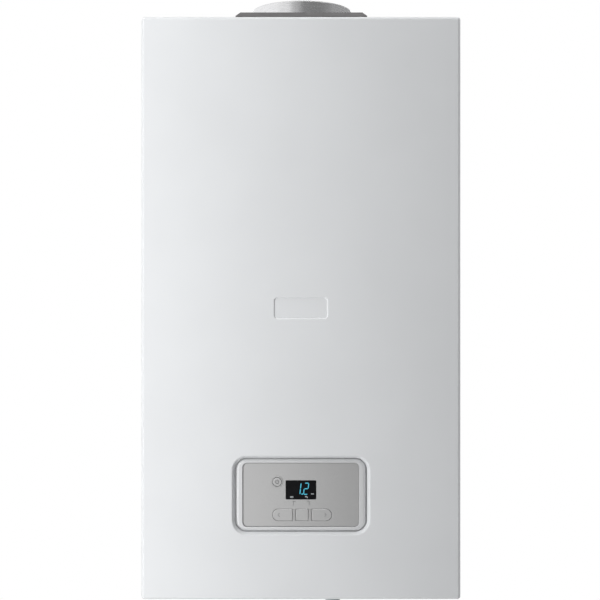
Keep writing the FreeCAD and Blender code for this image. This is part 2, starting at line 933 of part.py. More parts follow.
def tap_places():
    """The five pipe connections under the floor, from left to right, with their thread radii."""
    return [
        (-BLOCK_X, S.heating_thread_radius),
        (-TAP_X, S.water_thread_radius),
        (0, S.gas_thread_radius),
        (TAP_X, S.water_thread_radius),
        (BLOCK_X, S.heating_thread_radius),
    ]


# Front cover


def front_cover():
    """Deep-drawn pan with a sloped recess for the controls and a shallow blank badge."""
    pan = body("pan", (0, COVER_BACK, FLOOR), "front")
    middle = S.casing_height / 2
    pad(pan, rectangle(sketch(pan), S.casing_width, S.casing_height, (0, middle)), S.cover_depth)
    soften(pan, "Fillet", S.cover_edge_radius, either(runs_along("z"), lies_at("z", S.cover_depth)))
    doc.recompute()
    shell = pan.newObject("PartDesign::Thickness", "pan_shell")
    base = [f for f in pan.Group if f.TypeId == "PartDesign::Fillet"][-1]
    rear = next(i for i, face in enumerate(base.Shape.Faces, 1) if near(face.BoundBox.ZMax, 0))
    shell.Base = (base, [f"Face{rear}"])
    shell.Reversed = True
    bind(shell, "Value", S.casing_sheet)
    pan.Tip = shell
    lip = sketch(pan)
    rim = S.casing_sheet / 2
    outer_width, outer_height = S.casing_width - 2 * rim, S.casing_height - 2 * rim
    corner = S.cover_edge_radius - rim
    soft_rectangle(lip, outer_width, outer_height, corner, (0, middle))
    inset = 2 * (S.casing_sheet + S.cover_lip)
    rectangle(lip, S.casing_width - inset, S.casing_height - inset, (0, middle))
    for side in (-1, 1):
        for _, z in stud_heights():
            circle(lip, S.stud_radius + S.fit_gap, (stud_x() * side, z - FLOOR))
    pad(pan, lip, S.casing_sheet)
    dish(
        pan,
        (0, S.control_height),
        (S.recess_width, S.recess_height),
        S.recess_radius,
        S.recess_slope,
        S.recess_depth,
        0,
    )
    dish(
        pan,
        (0, middle),
        (S.badge_width, S.badge_height),
        S.badge_radius,
        S.badge_slope,
        S.badge_depth,
        S.casing_sheet,
    )
    opening = S.recess_width / 2
    soften(pan, "Fillet", S.recess_rim, lambda edge: rim_edge(edge, opening))
    keep(pan, "front_cover")


def rim_edge(edge, opening):
    """Picks the edges where the control recess meets the cover's front face."""
    spot = edge.BoundBox
    flat = near(spot.ZMin, S.cover_depth) and near(spot.ZMax, S.cover_depth)
    low, high = number(S.control_height - S.recess_height), number(S.control_height + S.recess_height)
    return flat and abs(spot.Center.x) <= number(opening) and low < spot.Center.y < high


def dish(of, centre, size, radius, slope, depth, floor):
    """A sloped recess drawn into the front sheet. With a floor of 0 it is an opening."""
    low = S.cover_depth - depth
    skin = [(S.cover_depth - S.casing_sheet, S.casing_sheet, 0), (low - floor, S.casing_sheet, 1)]
    hole = [(S.cover_depth, 0, 0), (low, 0, 1)]
    for kind, ends in (("Additive", skin), ("Subtractive", hole)):
        profiles = []
        for lift, extra, foot in ends:
            inset = slope * (2 * foot)
            made = sketch(of, lift=lift)
            width, height = size[0] + 2 * extra - inset, size[1] + 2 * extra - inset
            soft_rectangle(made, width, height, radius + extra - slope * foot, centre)
            profiles.append(made)
        doc.recompute()
        loft(of, kind, *profiles)
        doc.recompute()


def cover_studs():
    """Four headed studs on the cover's lip that push into the side panels' holes."""
    studs = []
    for side in (-1, 1):
        for name, z in stud_heights():
            profile = [
                (0, 0),
                (S.stud_head_radius, 0),
                (S.stud_head_radius, S.casing_sheet),
                (S.stud_radius, S.casing_sheet),
                (S.stud_radius, S.stud_reach - S.stud_radius),
                (S.stud_radius / 2, S.stud_reach),
                (0, S.stud_reach),
            ]
            at = (stud_x() * side, COVER_BACK - 2 * S.casing_sheet, z)
            studs.append(turned(f"{name}_stud", profile, at, "back"))
    keep(group("cover_studs", *studs), "cover_studs")


def cover_gasket():
    """Flat foam frame on the chassis flange, just clear of the cover's lip."""
    frame = body("gasket", (0, PANEL_FRONT, FLOOR + S.casing_height / 2), "front")
    width, height = INNER_WIDTH, S.casing_height - 2 * S.casing_sheet
    profile = rectangle(sketch(frame), width, height)
    inset = 2 * S.panel_flange
    rectangle(profile, width - inset, height - inset)
    for side in (-1, 1):
        for name, z in stud_heights():
            up = z - FLOOR - S.casing_height / 2
            circle(profile, S.stud_radius + S.stud_play, (stud_x() * side, up))
    pad(frame, profile, S.cover_seam - S.gasket_play)
    keep(frame, "cover_gasket")


# Flue outlet


def flue_base():
    """Square turret on the roof: chamfered top, round air chamber, sunk screw holes in its corners."""
    turret = body("turret", (0, FLUE_Y, ROOF))
    pad(turret, rectangle(sketch(turret), S.flue_base_width, S.flue_base_width), S.flue_base_height)
    soften(turret, "Chamfer", S.flue_base_chamfer, lies_at("z", S.flue_base_height))
    chamber = circle(sketch(turret), S.air_chamber_radius)
    pocket(turret, chamber, S.flue_base_height - S.flue_base_wall, towards=1)
    hole = circle(sketch(turret, lift=S.flue_base_height), S.collar_radius - S.collar_step + S.fit_gap)
    pocket(turret, hole, S.flue_base_wall + S.overrun)
    for x, y in screw_places():
        spot = (x, y - FLUE_Y)
        sink = circle(sketch(turret, lift=S.flue_base_height), S.base_screw_head + S.fit_gap, spot)
        pocket(turret, sink, S.base_screw_sink)
        through = circle(sketch(turret, lift=S.flue_base_height), S.base_screw_radius + S.fit_gap, spot)
        pocket(turret, through, S.flue_base_height + S.overrun)
    keep(turret, "flue_base")


def flue_base_screws():
    shank = S.flue_base_height - S.base_screw_sink + S.casing_sheet
    screws = []
    for x, y in screw_places():
        profile = [
            (0, 0),
            (S.base_screw_radius, 0),
            (S.base_screw_radius, shank),
            (S.base_screw_head, shank),
            (S.base_screw_head, shank + S.base_screw_head_height),
            (0, shank + S.base_screw_head_height),
        ]
        screws.append(turned("base_screw", profile, (x, y, ROOF - S.casing_sheet)))
    keep(group("flue_base_screws", *screws), "flue_base_screws")


def air_collar():
    """Cast collar for the air pipe, shouldered on the turret and rolled under its top."""
    bore = S.collar_radius - S.collar_wall
    neck = S.collar_radius - S.collar_step
    under = S.flue_base_height - S.flue_base_wall
    top = S.flue_base_height + S.collar_height
    profile = [
        (bore, under - S.collar_bead),
        (neck + S.collar_bead, under - S.collar_bead),
        (neck + S.collar_bead, under),
        (neck, under),
        (neck, S.flue_base_height),
        (S.collar_radius, S.flue_base_height),
        (S.collar_radius, top),
        (bore, top),
    ]
    keep(turned("air_collar", profile, (0, FLUE_Y, ROOF)), "air_collar")


def flue_socket():
    """Socket for the exhaust pipe: a seal groove, a stop above the duct, and spokes out to the collar."""
    top = S.socket_above_roof
    low = -S.socket_below_roof
    stop_low = low + S.socket_grip
    stop_high = stop_low + S.socket_stop
    groove_high = top - S.seal_below_rim
    groove_low = groove_high - S.seal_height
    bulge = SOCKET_OUTER + S.seal_groove
    seat = DUCT_RADIUS + S.fit_gap
    bore = DUCT_RADIUS - S.duct_wall
    profile = [
        (seat, low),
        (SOCKET_OUTER, low),
        (SOCKET_OUTER, groove_low - S.socket_wall),
        (bulge, groove_low),
        (bulge, top),
        (S.socket_bore, top),
        (S.socket_bore, groove_high),
        (S.socket_bore + S.seal_groove, groove_high),
        (S.socket_bore + S.seal_groove, groove_low),
        (S.socket_bore, groove_low),
        (S.socket_bore, stop_high),
        (bore, stop_high),
        (bore, stop_low),
        (seat, stop_low),
    ]
    socket = turned("flue_socket", profile, (0, FLUE_Y, ROOF))
    inner = SOCKET_OUTER - S.socket_wall / 2
    outer = S.collar_radius - S.collar_wall - S.fit_gap
    half = S.spoke_thickness / 2
    spoke_low = groove_low - S.socket_wall - S.spoke_height
    profile = polygon(
        sketch(socket, lift=spoke_low), [(inner, -half), (outer, -half), (outer, half), (inner, half)]
    )
    web = pad(socket, profile, S.spoke_height)
    spin(socket, web, SPOKES)
    keep(socket, "flue_socket")


def flue_seal():
    """Lip seal, drawn as the exhaust pipe presses it into its groove."""
    high = S.socket_above_roof - S.seal_below_rim - S.fit_gap
    low = high - S.seal_height + 2 * S.fit_gap
    inner, outer = S.socket_bore + S.fit_gap / 2, S.socket_bore + S.seal_groove - S.fit_gap
    keep(
        turned(
            "flue_seal", [(inner, low), (outer, low), (outer, high), (inner, high)], (0, FLUE_Y, ROOF)
        ),
        "flue_seal",
    )


def chimney_top():
    return CELL_Z + CELL_RADIUS + S.chimney_rise


def flue_duct():
    """Plastic duct from the exchanger's chimney up to the socket's stop."""
    low = CELL_Z + CELL_RADIUS
    high = ROOF - S.socket_below_roof + S.socket_grip - S.fit_gap
    tube = body("duct", (0, FLUE_Y, low))
    profile = circle(sketch(tube), DUCT_RADIUS)
    circle(profile, DUCT_RADIUS - S.duct_wall)
    pad(tube, profile, high - low)
    keep(tube, "flue_duct")


# Heat cell


def exchanger_shell():
    """Moulded drum with a chimney on top, two water stubs and a condensate drain below."""
    drum = rod("drum", CELL_RADIUS, CELL_LENGTH, (0, CELL_BACK, CELL_Z), "front")
    chimney = rod("chimney", CHIMNEY_RADIUS, CELL_RADIUS + S.chimney_rise, (0, FLUE_Y, CELL_Z))
    solids, holes = [drum, chimney], []
    inner = CELL_RADIUS - S.exchanger_wall
    room = CELL_LENGTH - S.exchanger_wall + S.overrun
    holes.append(rod("drum_hollow", inner, room, (0, CELL_BACK - S.exchanger_wall, CELL_Z), "front"))
    holes.append(
        rod(
            "chimney_seat",
            DUCT_RADIUS + S.fit_gap,
            S.chimney_rise + S.overrun,
            (0, FLUE_Y, CELL_Z + CELL_RADIUS),
        )
    )
    holes.append(
        rod("chimney_bore", DUCT_RADIUS - S.duct_wall, CELL_RADIUS + S.overrun, (0, FLUE_Y, CELL_Z))
    )
    for side in (-1, 1):
        x, y, z = water_stub(side)
        solids.append(rod("water_stub", S.water_stub_radius, CELL_RADIUS - S.exchanger_wall, (x, y, z)))
        bore = S.copper_radius - S.pipe_wall
        holes.append(rod("water_stub_bore", bore, CELL_RADIUS, (x, y, z - S.overrun)))
    x, y, z = drain_stub()
    solids.append(rod("drain", S.drain_radius, S.drain_drop + 2 * S.exchanger_wall, (x, y, z)))
    holes.append(rod("drain_bore", S.drain_radius - S.hose_wall, CELL_RADIUS / 2, (x, y, z - S.overrun)))
    keep(less("exchanger_shell", join("drum_with_stubs", *solids), *holes), "exchanger_shell")


def water_stub(side):
    """The lower end of the exchanger's flow or return stub."""
    edge_share = math.sqrt(1 - WATER_STUB_SHARE**2)
    x = CELL_RADIUS * (WATER_STUB_SHARE * side)
    return x, CELL_BACK - S.water_stub_setback, CELL_Z - CELL_RADIUS * edge_share - S.water_stub_drop


def drain_stub():
    return 0, CELL_FRONT + CELL_LENGTH / 4, DRAIN_Z


def exchanger_core():
    """Stack of hollow stainless rings round the burner."""
    low = S.exchanger_wall
    outer = CELL_RADIUS - S.exchanger_wall - S.core_play
    bore = outer - S.core_depth
    neck = outer - S.core_groove
    length = CELL_LENGTH - S.exchanger_wall - S.core_front_gap
    rib = length / (2 * CORE_RIBS - 1)
    profile = [(bore, low)]
    for k in range(CORE_RIBS):
        start = low + rib * (2 * k)
        profile += [(outer, start), (outer, start + rib)]
        if k < CORE_RIBS - 1:
            profile += [(neck, start + rib), (neck, start + 2 * rib)]
    profile.append((bore, low + length))
    keep(turned("exchanger_core", profile, (0, CELL_BACK, CELL_Z), "front"), "exchanger_core")


def nut_circle():
    return CELL_RADIUS + S.door_overhang - S.door_nut_inset


def burner_door():
    """Cast door that closes the drum, with a raised rim and a port for the gas and air."""
    radius = CELL_RADIUS + S.door_overhang
    door = body("door", (0, CELL_FRONT, CELL_Z), "front")
    pad(door, circle(sketch(door), radius), S.door_thickness)
    dished = circle(sketch(door, lift=S.door_thickness), DISH_RADIUS)
    pocket(door, dished, S.door_rim)
    port = circle(
        sketch(door, lift=S.door_thickness), S.mixture_radius - S.mixture_wall, (PORT_X, PORT_UP)
    )
    pocket(door, port, S.door_thickness + S.overrun)
    for way in (-1, 1):
        hole = circle(
            sketch(door, lift=S.door_thickness),
            S.electrode_radius + S.fit_gap,
            (S.electrode_spacing * (way / 2), -electrode_down()),
        )
        pocket(door, hole, S.door_thickness + S.overrun)
    bolt = circle(sketch(door, lift=S.door_thickness), S.door_stud_radius + S.fit_gap, (0, nut_circle()))
    spin(door, pocket(door, bolt, S.door_thickness + S.overrun), DOOR_NUTS)
    soften(
        door,
        "Fillet",
        S.door_rim / 2,
        lambda edge: edge.Closed and near(edge.BoundBox.XMax, radius) and near(
            edge.BoundBox.ZMin, S.door_thickness
        ),
    )
    keep(door, "burner_door")


def electrode_down():
    """How far under the door's centre the electrodes sit: midway between the burner and the dish's rim."""
    return (S.burner_radius + S.burner_flange + DISH_RADIUS) / 2


def door_nuts():
    """Hexagon nuts on their studs round the door."""
    nuts = []
    for k in range(DOOR_NUTS):
        angle = 2 * math.pi * k / DOOR_NUTS
        x, z = nut_circle() * math.sin(angle), CELL_Z + nut_circle() * math.cos(angle)
        nut = body("door_nut", (x, DOOR_FRONT, z), "front")
        corners = [(S.door_nut_radius * math.cos(a), S.door_nut_radius * math.sin(a)) for a in HEX_ANGLES]
        pad(nut, polygon(sketch(nut), corners), S.door_nut_height)
        pad(
            nut,
            circle(sketch(nut, lift=-S.door_thickness), S.door_stud_radius),
            S.door_thickness + S.door_nut_height + S.door_stud_radius,
        )
        nuts.append(nut)
    keep(group("door_nuts", *nuts), "door_nuts")


def burner():
    """Perforated premix burner tube on the inside of the door."""
    outer = S.burner_radius
    inner = outer - S.burner_wall
    flange = outer + S.burner_flange
    mouth = CELL_LENGTH - S.burner_end_gap
    profile = [
        (inner, 0),
        (flange, 0),
        (flange, S.burner_wall),
        (outer, S.burner_wall),
        (outer, mouth),
        (0, mouth),
        (0, mouth - S.burner_wall),
        (inner, mouth - S.burner_wall),
    ]
    keep(turned("burner", profile, (0, CELL_FRONT, CELL_Z), "back"), "burner")


def electrodes():
    """Ignition and flame-sensing electrodes through the lower half of the door."""
    rods = []
    for way in (-1, 1):
        profile = [
            (0, -S.door_thickness),
            (S.electrode_radius, -S.door_thickness),
            (S.electrode_radius, 0),
            (S.electrode_base_radius, 0),
            (S.electrode_base_radius, S.electrode_radius),
            (S.electrode_radius, S.electrode_radius),
            (S.electrode_radius, S.electrode_length - S.electrode_radius),
            (S.electrode_radius / 2, S.electrode_length),
            (0, S.electrode_length),
        ]
        at = (S.electrode_spacing * (way / 2), DOOR_FRONT + S.door_rim, CELL_Z - electrode_down())
        rods.append(turned("electrode", profile, at, "front"))
    keep(group("electrodes", *rods), "electrodes")


def mounting_brackets():
    """Four stand-offs from the back tray: two behind the heat cell, two behind the vessel."""
    size = (S.bracket_block_width, S.exchanger_standoff, S.bracket_block_height)
    spots = []
    for way in (-1, 1):
        spots.append((0, CELL_Z + CELL_RADIUS * (way / 2) - S.bracket_block_height / 2))
    low, high = vessel_low(), vessel_low() + S.vessel_height
    spots.append((VESSEL_X, between(low, high, 1 / 6)))
    spots.append((VESSEL_X, between(low, high, 5 / 6)))
    blocks = []
    for x, z in spots:
        outer = block("stand_off", (x, TRAY_FRONT - S.exchanger_standoff / 2, z), size)
        inside = (size[0] - 4 * S.casing_sheet, size[1] - 4 * S.casing_sheet, size[2] + 2 * S.overrun)
        hollow = block(
            "stand_off_hollow", (x, TRAY_FRONT - S.exchanger_standoff / 2, z - S.overrun), inside
        )
        blocks.append(less("stand_off_folded", outer, hollow))
    keep(group("mounting_brackets", *blocks), "mounting_brackets")


# Fan, gas and air


def fan_housing():
    """Volute with a square outlet that points down to the mixture duct."""
    x = PORT_X
    drum = rod("volute", S.fan_radius, S.fan_depth, (FAN_X, FAN_BACK, FAN_Z), "front")
    width = S.fan_outlet_width
    outlet_low = FAN_Z - FAN_OUTLET_DROP
    outlet = box("outlet", (x - width / 2, FAN_FRONT, outlet_low), (width, S.fan_depth, FAN_OUTLET_DROP))
    inside = S.fan_depth - 2 * S.fan_wall
    chamber = rod(
        "volute_hollow", S.fan_radius - S.fan_wall, inside, (FAN_X, FAN_BACK - S.fan_wall, FAN_Z), "front"
    )
    passage_size = (width - 2 * S.fan_wall, inside, FAN_OUTLET_DROP + S.overrun)
    passage = box(
        "outlet_hollow",
        (x - width / 2 + S.fan_wall, FAN_FRONT + S.fan_wall, outlet_low - S.overrun),
        passage_size,
    )
    inlet = rod(
        "volute_inlet",
        S.fan_inlet_radius,
        S.fan_wall + 2 * S.overrun,
        (FAN_X, FAN_FRONT + S.fan_wall + S.overrun, FAN_Z),
        "front",
    )
    shaft = rod(
        "volute_shaft_hole",
        2 * S.fan_shaft_radius,
        S.fan_wall + 2 * S.overrun,
        (FAN_X, FAN_BACK + S.overrun, FAN_Z),
        "front",
    )
    keep(
        less("fan_housing", join("volute_and_outlet", drum, outlet), chamber, passage, inlet, shaft),
        "fan_housing",
    )


def fan_motor():
    """Motor can behind the volute, with a blind bore that carries the shaft."""
    edge = S.fan_motor_radius / 8
    bore = S.fan_shaft_radius + S.running_gap
    deep = S.fan_motor_length - S.fan_wall
    profile = [
        (bore, 0),
        (S.fan_motor_radius, 0),
        (S.fan_motor_radius, S.fan_motor_length - edge),
        (S.fan_motor_radius - edge, S.fan_motor_length),
        (0, S.fan_motor_length),
        (0, deep),
        (bore, deep),
    ]
    keep(turned("fan_motor", profile, (FAN_X, FAN_BACK, FAN_Z), "back"), "fan_motor")


def bladed_wheel(name, hub, radius, blade_low, blade_high, shaft, shaft_low, blades, at, facing):
    """A back plate, straight blades and a shaft that runs back from the plate. Heights are along the axis."""
    wheel = body(name, at, facing)
    pad(wheel, circle(sketch(wheel, lift=blade_low - hub), radius), hub)
    half = hub / 4
    inner, outer = radius / 2, radius
    reach = blade_high - blade_low
    profile = polygon(
        sketch(wheel, lift=blade_low),
        [(inner, -half), (outer - half, -half), (outer - half, half), (inner, half)],
    )
    spin(wheel, pad(wheel, profile, reach), blades)
    doc.recompute()
    pad(wheel, circle(sketch(wheel, lift=blade_low), 2 * shaft), reach / 2)
    pad(wheel, circle(sketch(wheel, lift=shaft_low), shaft), blade_low - hub - shaft_low)
    return keep(wheel, name)


def fan_impeller():
    low = S.fan_wall + S.fan_impeller_play + S.fan_hub_thickness
    high = S.fan_depth - S.fan_wall - S.fan_impeller_play
    shaft_low = S.fan_wall * 2 - S.fan_motor_length
    bladed_wheel(
        "fan_impeller", S.fan_hub_thickness, S.fan_impeller_radius, low, high,
        S.fan_shaft_radius, shaft_low, FAN_BLADES, (FAN_X, FAN_BACK, FAN_Z), "front",
    )


def mixture_duct():
    """Cast elbow from the fan's outlet down and back into the door."""
    x = PORT_X
    y = FAN_BACK - S.fan_depth / 2
    high = FAN_Z - FAN_OUTLET_DROP
    z = CELL_Z + PORT_UP
    seat = DOOR_FRONT + S.door_rim
    route = [(x, y, high), (x, y, z), (x, seat, z)]
    elbow = pipe("elbow", route, S.mixture_radius, S.mixture_wall, S.mixture_bend)
    plate_size = (S.fan_outlet_width, S.fan_depth, S.mixture_flange)
    plate = block("elbow_plate", (x, y, high - S.mixture_flange), plate_size)
    disc = rod("elbow_disc", S.mixture_radius + S.mixture_flange, S.mixture_flange, (x, seat, z), "front")
    bore = S.mixture_radius - S.mixture_wall
    plate_hole = rod("elbow_plate_hole", bore, S.mixture_flange * 2, (x, y, high - S.mixture_flange * 2))
    disc_hole = rod(
        "elbow_disc_hole", bore, S.mixture_flange * 2, (x, seat + S.mixture_flange, z), "front"
    )
    plates = less("elbow_flanges", group("elbow_plates", plate, disc), plate_hole, disc_hole)
    keep(join("mixture_duct", elbow, plates), "mixture_duct")


def venturi():
    """Mixer on the fan's inlet: a bell, a side port for air and a lower boss for gas."""
    base = rod("mixer", S.venturi_radius, S.venturi_length, (FAN_X, FAN_FRONT, FAN_Z), "front")
    y = venturi_y()
    port = rod(
        "mixer_port",
        S.venturi_port_radius,
        S.venturi_radius + S.venturi_port_reach,
        (FAN_X, y, FAN_Z),
        "right",
    )
    boss = rod(
        "mixer_boss",
        S.venturi_boss_radius,
        S.venturi_radius + S.venturi_boss_reach,
        (FAN_X, y, FAN_Z),
        "down",
    )
    throat = rod(
        "mixer_throat",
        S.fan_inlet_radius,
        S.venturi_length - S.fan_wall,
        (FAN_X, FAN_FRONT, FAN_Z),
        "front",
    )
    port_bore = rod(
        "mixer_port_bore",
        S.venturi_port_bore,
        S.venturi_radius + S.venturi_port_reach + S.overrun,
        (FAN_X, y, FAN_Z),
        "right",
    )
    gas_bore = rod(
        "mixer_gas_bore",
        S.gas_feed_radius - S.pipe_wall,
        S.venturi_radius + S.venturi_boss_reach + S.overrun,
        (FAN_X, y, FAN_Z),
        "down",
    )
    keep(less("venturi", join("mixer_solid", base, port, boss), throat, port_bore, gas_bore), "venturi")


def venturi_y():
    return FAN_FRONT - S.venturi_length / 2


def air_silencer():
    """Moulded intake box beside the fan, with a spigot into the mixer and an open mouth below."""
    left = FAN_X + S.venturi_radius + S.venturi_port_reach + S.silencer_gap
    y = venturi_y()
    low = FAN_Z - S.silencer_height / 2
    case = body("silencer_case", (left + S.silencer_width / 2, y, low))
    pad(
        case,
        soft_rectangle(sketch(case), S.silencer_width, S.silencer_depth, S.silencer_radius),
        S.silencer_height,
    )
    soften(
        case, "Fillet", S.silencer_radius / 2, either(lies_at("z", 0), lies_at("z", S.silencer_height))
    )
    inner_width = S.silencer_width - 2 * S.silencer_wall
    inner_depth = S.silencer_depth - 2 * S.silencer_wall
    room = block(
        "silencer_room",
        (left + S.silencer_width / 2, y, low + S.silencer_wall),
        (
            inner_width - S.silencer_radius,
            inner_depth - S.silencer_radius,
            S.silencer_height - 2 * S.silencer_wall,
        ),
    )
    reach = S.silencer_gap + S.spigot_grip
    spigot_radius = S.venturi_port_bore - S.fit_gap
    spigot = rod(
        "silencer_spigot",
        spigot_radius,
        reach + S.silencer_radius,
        (left + S.silencer_radius, y, FAN_Z),
        "left",
    )
    bore = rod(
        "silencer_bore",
        spigot_radius - S.silencer_wall,
        reach + S.silencer_radius * 3,
        (left + S.silencer_radius * 2, y, FAN_Z),
        "left",
    )
    mouth_x = left + S.silencer_width * 3 / 4
    mouth = rod("silencer_mouth", S.silencer_mouth, S.silencer_height / 2, (mouth_x, y, low - S.overrun))
    keep(less("air_silencer", join("silencer_solid", case, spigot), room, bore, mouth), "air_silencer")


def gas_valve_place():
    """Middle of the gas valve's lower face."""
    x = -INNER_HALF + S.gas_valve_side_gap + S.gas_valve_width / 2
    y = FRONT + S.gas_valve_front_gap + S.gas_valve_depth / 2
    z = FAN_Z - S.gas_valve_below_fan - S.gas_valve_height
    return x, y, z


def gas_valve():
    """Cast body with two solenoid coils on its front."""
    x, y, z = gas_valve_place()
    size = (S.gas_valve_width, S.gas_valve_depth - S.gas_coil_length, S.gas_valve_height)
    back = y + S.gas_valve_depth / 2
    corner = (x - S.gas_valve_width / 2, back - size[1], z)
    cast = rounded("gas_cast", box("gas_body", corner, size), S.block_edge, runs_along("y"))
    coils = []
    for up in (1, 3):
        at = (x, back - size[1], z + S.gas_valve_height * (up / 4))
        coils.append(rod("gas_coil", S.gas_coil_radius, S.gas_coil_length - S.gas_coil_gap, at, "front"))
    pipe_y = back - size[1] / 2
    seat = S.gas_pipe_radius + S.fit_gap
    inlet = rod("gas_inlet", seat, S.gas_valve_height / 5, (x, pipe_y, z))
    seat = S.gas_feed_radius + S.fit_gap
    outlet = rod("gas_outlet", seat, S.gas_valve_height / 5, (x, pipe_y, z + S.gas_valve_height), "down")
    keep(less("gas_valve", join("gas_solid", cast, *coils), inlet, outlet), "gas_valve")


def gas_valve_pipe_y():
    _, y, _ = gas_valve_place()
    return y + S.gas_valve_depth / 2 - (S.gas_valve_depth - S.gas_coil_length) / 2


def gas_supply_pipe():
    """Steel pipe from the gas connection up and across to the valve, with its threaded end."""
    x, _, low = gas_valve_place()
    y = gas_valve_pipe_y()
    seat = low + S.gas_valve_height / 5 - S.fit_gap
    top = water_stub(1)[2]
    rise = between(BLOCK_HIGH, top, GAS_RISE_SHARE)
    across = between(BLOCK_HIGH, top, GAS_ACROSS_SHARE)
    route = [
        (0, TAP_Y, TAP_LOW + S.tap_thread_length),
        (0, TAP_Y, rise),
        (x, between(TAP_Y, y, GAS_FORWARD_SHARE), across),
        (x, y, between(across, seat, GAS_LEVEL_SHARE)),
        (x, y, seat),
    ]
    tube = pipe("gas_tube", route, S.gas_pipe_radius, S.pipe_wall, S.gas_pipe_radius * BEND_RADII)
    keep(
        join("gas_supply_pipe", tube, threaded_end("gas_end", 0, S.gas_thread_radius, S.gas_pipe_radius)),
        "gas_supply_pipe",
    )


def gas_feed_pipe():
    """Thin pipe from the valve's top to the mixer's boss."""
    x, _, low = gas_valve_place()
    y = gas_valve_pipe_y()
    start = low + S.gas_valve_height * 4 / 5 + S.fit_gap
    boss = FAN_Z - S.venturi_radius - S.venturi_boss_reach
    level = (low + S.gas_valve_height + boss) / 2
    route = [(x, y, start), (x, y, level), (FAN_X, venturi_y(), level), (FAN_X, venturi_y(), boss)]
    keep(
        pipe("gas_feed_pipe", route, S.gas_feed_radius, S.pipe_wall, S.gas_feed_radius * 2),
        "gas_feed_pipe",
    )


# Water side


def threaded_end(name, x, thread, pipe_radius):
    """Connection under the floor: a thread, a hexagon above it and the pipe's bore through both."""
    low = (x, TAP_Y, TAP_LOW)
    spigot = rod(name + "_thread", thread, S.tap_thread_length, low)
    hexagon = body(name + "_hex", (x, TAP_Y, TAP_LOW + S.tap_thread_length))
    across = thread + S.tap_hex_extra
    pad(
        hexagon,
        polygon(sketch(hexagon), [(across * math.cos(a), across * math.sin(a)) for a in HEX_ANGLES]),
        S.tap_hex_height,
    )
    bore = rod(
        name + "_bore",
        pipe_radius - S.pipe_wall,
        S.tap_thread_length + S.tap_hex_height + 2 * S.overrun,
        (x, TAP_Y, TAP_LOW - S.overrun),
    )
    return less(name, join(name + "_solid", spigot, hexagon), bore)


def heating_stubs():
    """Flow and return connections of the heating circuit."""
    stubs = []
    for side, top in ((-1, BLOCK_LOW), (1, pump_inlet_low())):
        x = BLOCK_X * side
        end = threaded_end("heating_end", x, S.heating_thread_radius, S.copper_radius + S.pipe_wall)
        start = TAP_LOW + S.tap_thread_length
        outer = rod("heating_pipe", S.copper_radius + 2 * S.pipe_wall, top - start, (x, TAP_Y, start))
        bore = rod(
            "heating_pipe_bore",
            S.copper_radius,
            top - start + 2 * S.overrun,
            (x, TAP_Y, start - S.overrun),
        )
        stubs.append(less("heating_stub", join("heating_stub_solid", end, outer), bore))
    keep(group("heating_stubs", *stubs), "heating_stubs")


def pump_inlet_low():
    return BLOCK_LOW - S.pump_inlet_reach


def plate_low():
    return BLOCK_LOW + (S.block_height - S.plate_height) / 2


def tap_water_pipes():
    """Bent copper pipes from the hot and cold connections into the plate exchanger's face."""
    z = plate_low() + S.dhw_rise
    face = BLOCK_BACK - S.plate_depth
    pipes = []
    for name, side in (("hot_water", -1), ("cold_water", 1)):
        x = TAP_X * side
        route = [(x, TAP_Y, TAP_LOW + S.tap_thread_length), (x, TAP_Y, z), (x, face, z)]
        tube = pipe(name + "_tube", route, S.water_pipe_radius, S.pipe_wall, S.dhw_bend)
        end = threaded_end(name + "_end", x, S.water_thread_radius, S.water_pipe_radius)
        pipes.append(join(name + "_pipe", tube, end))
    keep(group("tap_water_pipes", *pipes), "tap_water_pipes")


def flow_block():
    """Moulded manifold on the left, with the diverter's bonnet and the relief valve's seat on its front."""
    x = -BLOCK_X
    front = BLOCK_BACK - S.flow_block_depth
    size = (S.block_width, S.flow_block_depth, S.block_height)
    cast = rounded(
        "flow_cast",
        box("flow_body", (x - S.block_width / 2, front, BLOCK_LOW), size),
        S.block_edge,
        runs_along("y"),
    )
    z = BLOCK_LOW + S.actuator_up
    bonnet = rod("flow_bonnet", S.bonnet_radius, S.bonnet_length, (x, front, z), "front")
    depth = S.bonnet_length + S.spindle_in_block + S.spindle_travel + S.overrun
    bore = rod(
        "flow_bonnet_bore",
        S.spindle_radius + S.running_gap,
        depth,
        (x, front - S.bonnet_length, z),
        "back",
    )
    stub = rod(
        "flow_port",
        S.copper_radius - S.pipe_wall,
        S.block_height / 4,
        (x, flow_pipe_y(), BLOCK_HIGH),
        "down",
    )
    lower = rod("flow_lower_port", S.copper_radius, S.block_height / 4, (x, TAP_Y, BLOCK_LOW))
    keep(less("flow_block", join("flow_solid", cast, bonnet), bore, stub, lower), "flow_block")


def flow_pipe_y():
    return BLOCK_BACK - S.return_block_depth / 2


def return_block():
    """Moulded manifold on the right, behind the pump."""
    size = (S.block_width, S.return_block_depth, S.block_height)
    corner = (BLOCK_INNER, BLOCK_BACK - S.return_block_depth, BLOCK_LOW)
    cast = rounded("return_cast", box("return_body", corner, size), S.block_edge, runs_along("y"))
    port = rod(
        "return_port",
        S.copper_radius - S.pipe_wall,
        S.block_height / 4,
        (return_pipe_x(), flow_pipe_y(), BLOCK_HIGH),
        "down",
    )
    hose = rod(
        "hose_port",
        S.hose_radius - S.hose_wall,
        S.block_height / 4,
        (hose_x(), flow_pipe_y(), BLOCK_HIGH),
        "down",
    )
    keep(less("return_block", cast, port, hose), "return_block")


def return_pipe_x():
    return BLOCK_INNER + S.block_width / 4


def hose_x():
    return BLOCK_INNER + S.block_width * 3 / 4


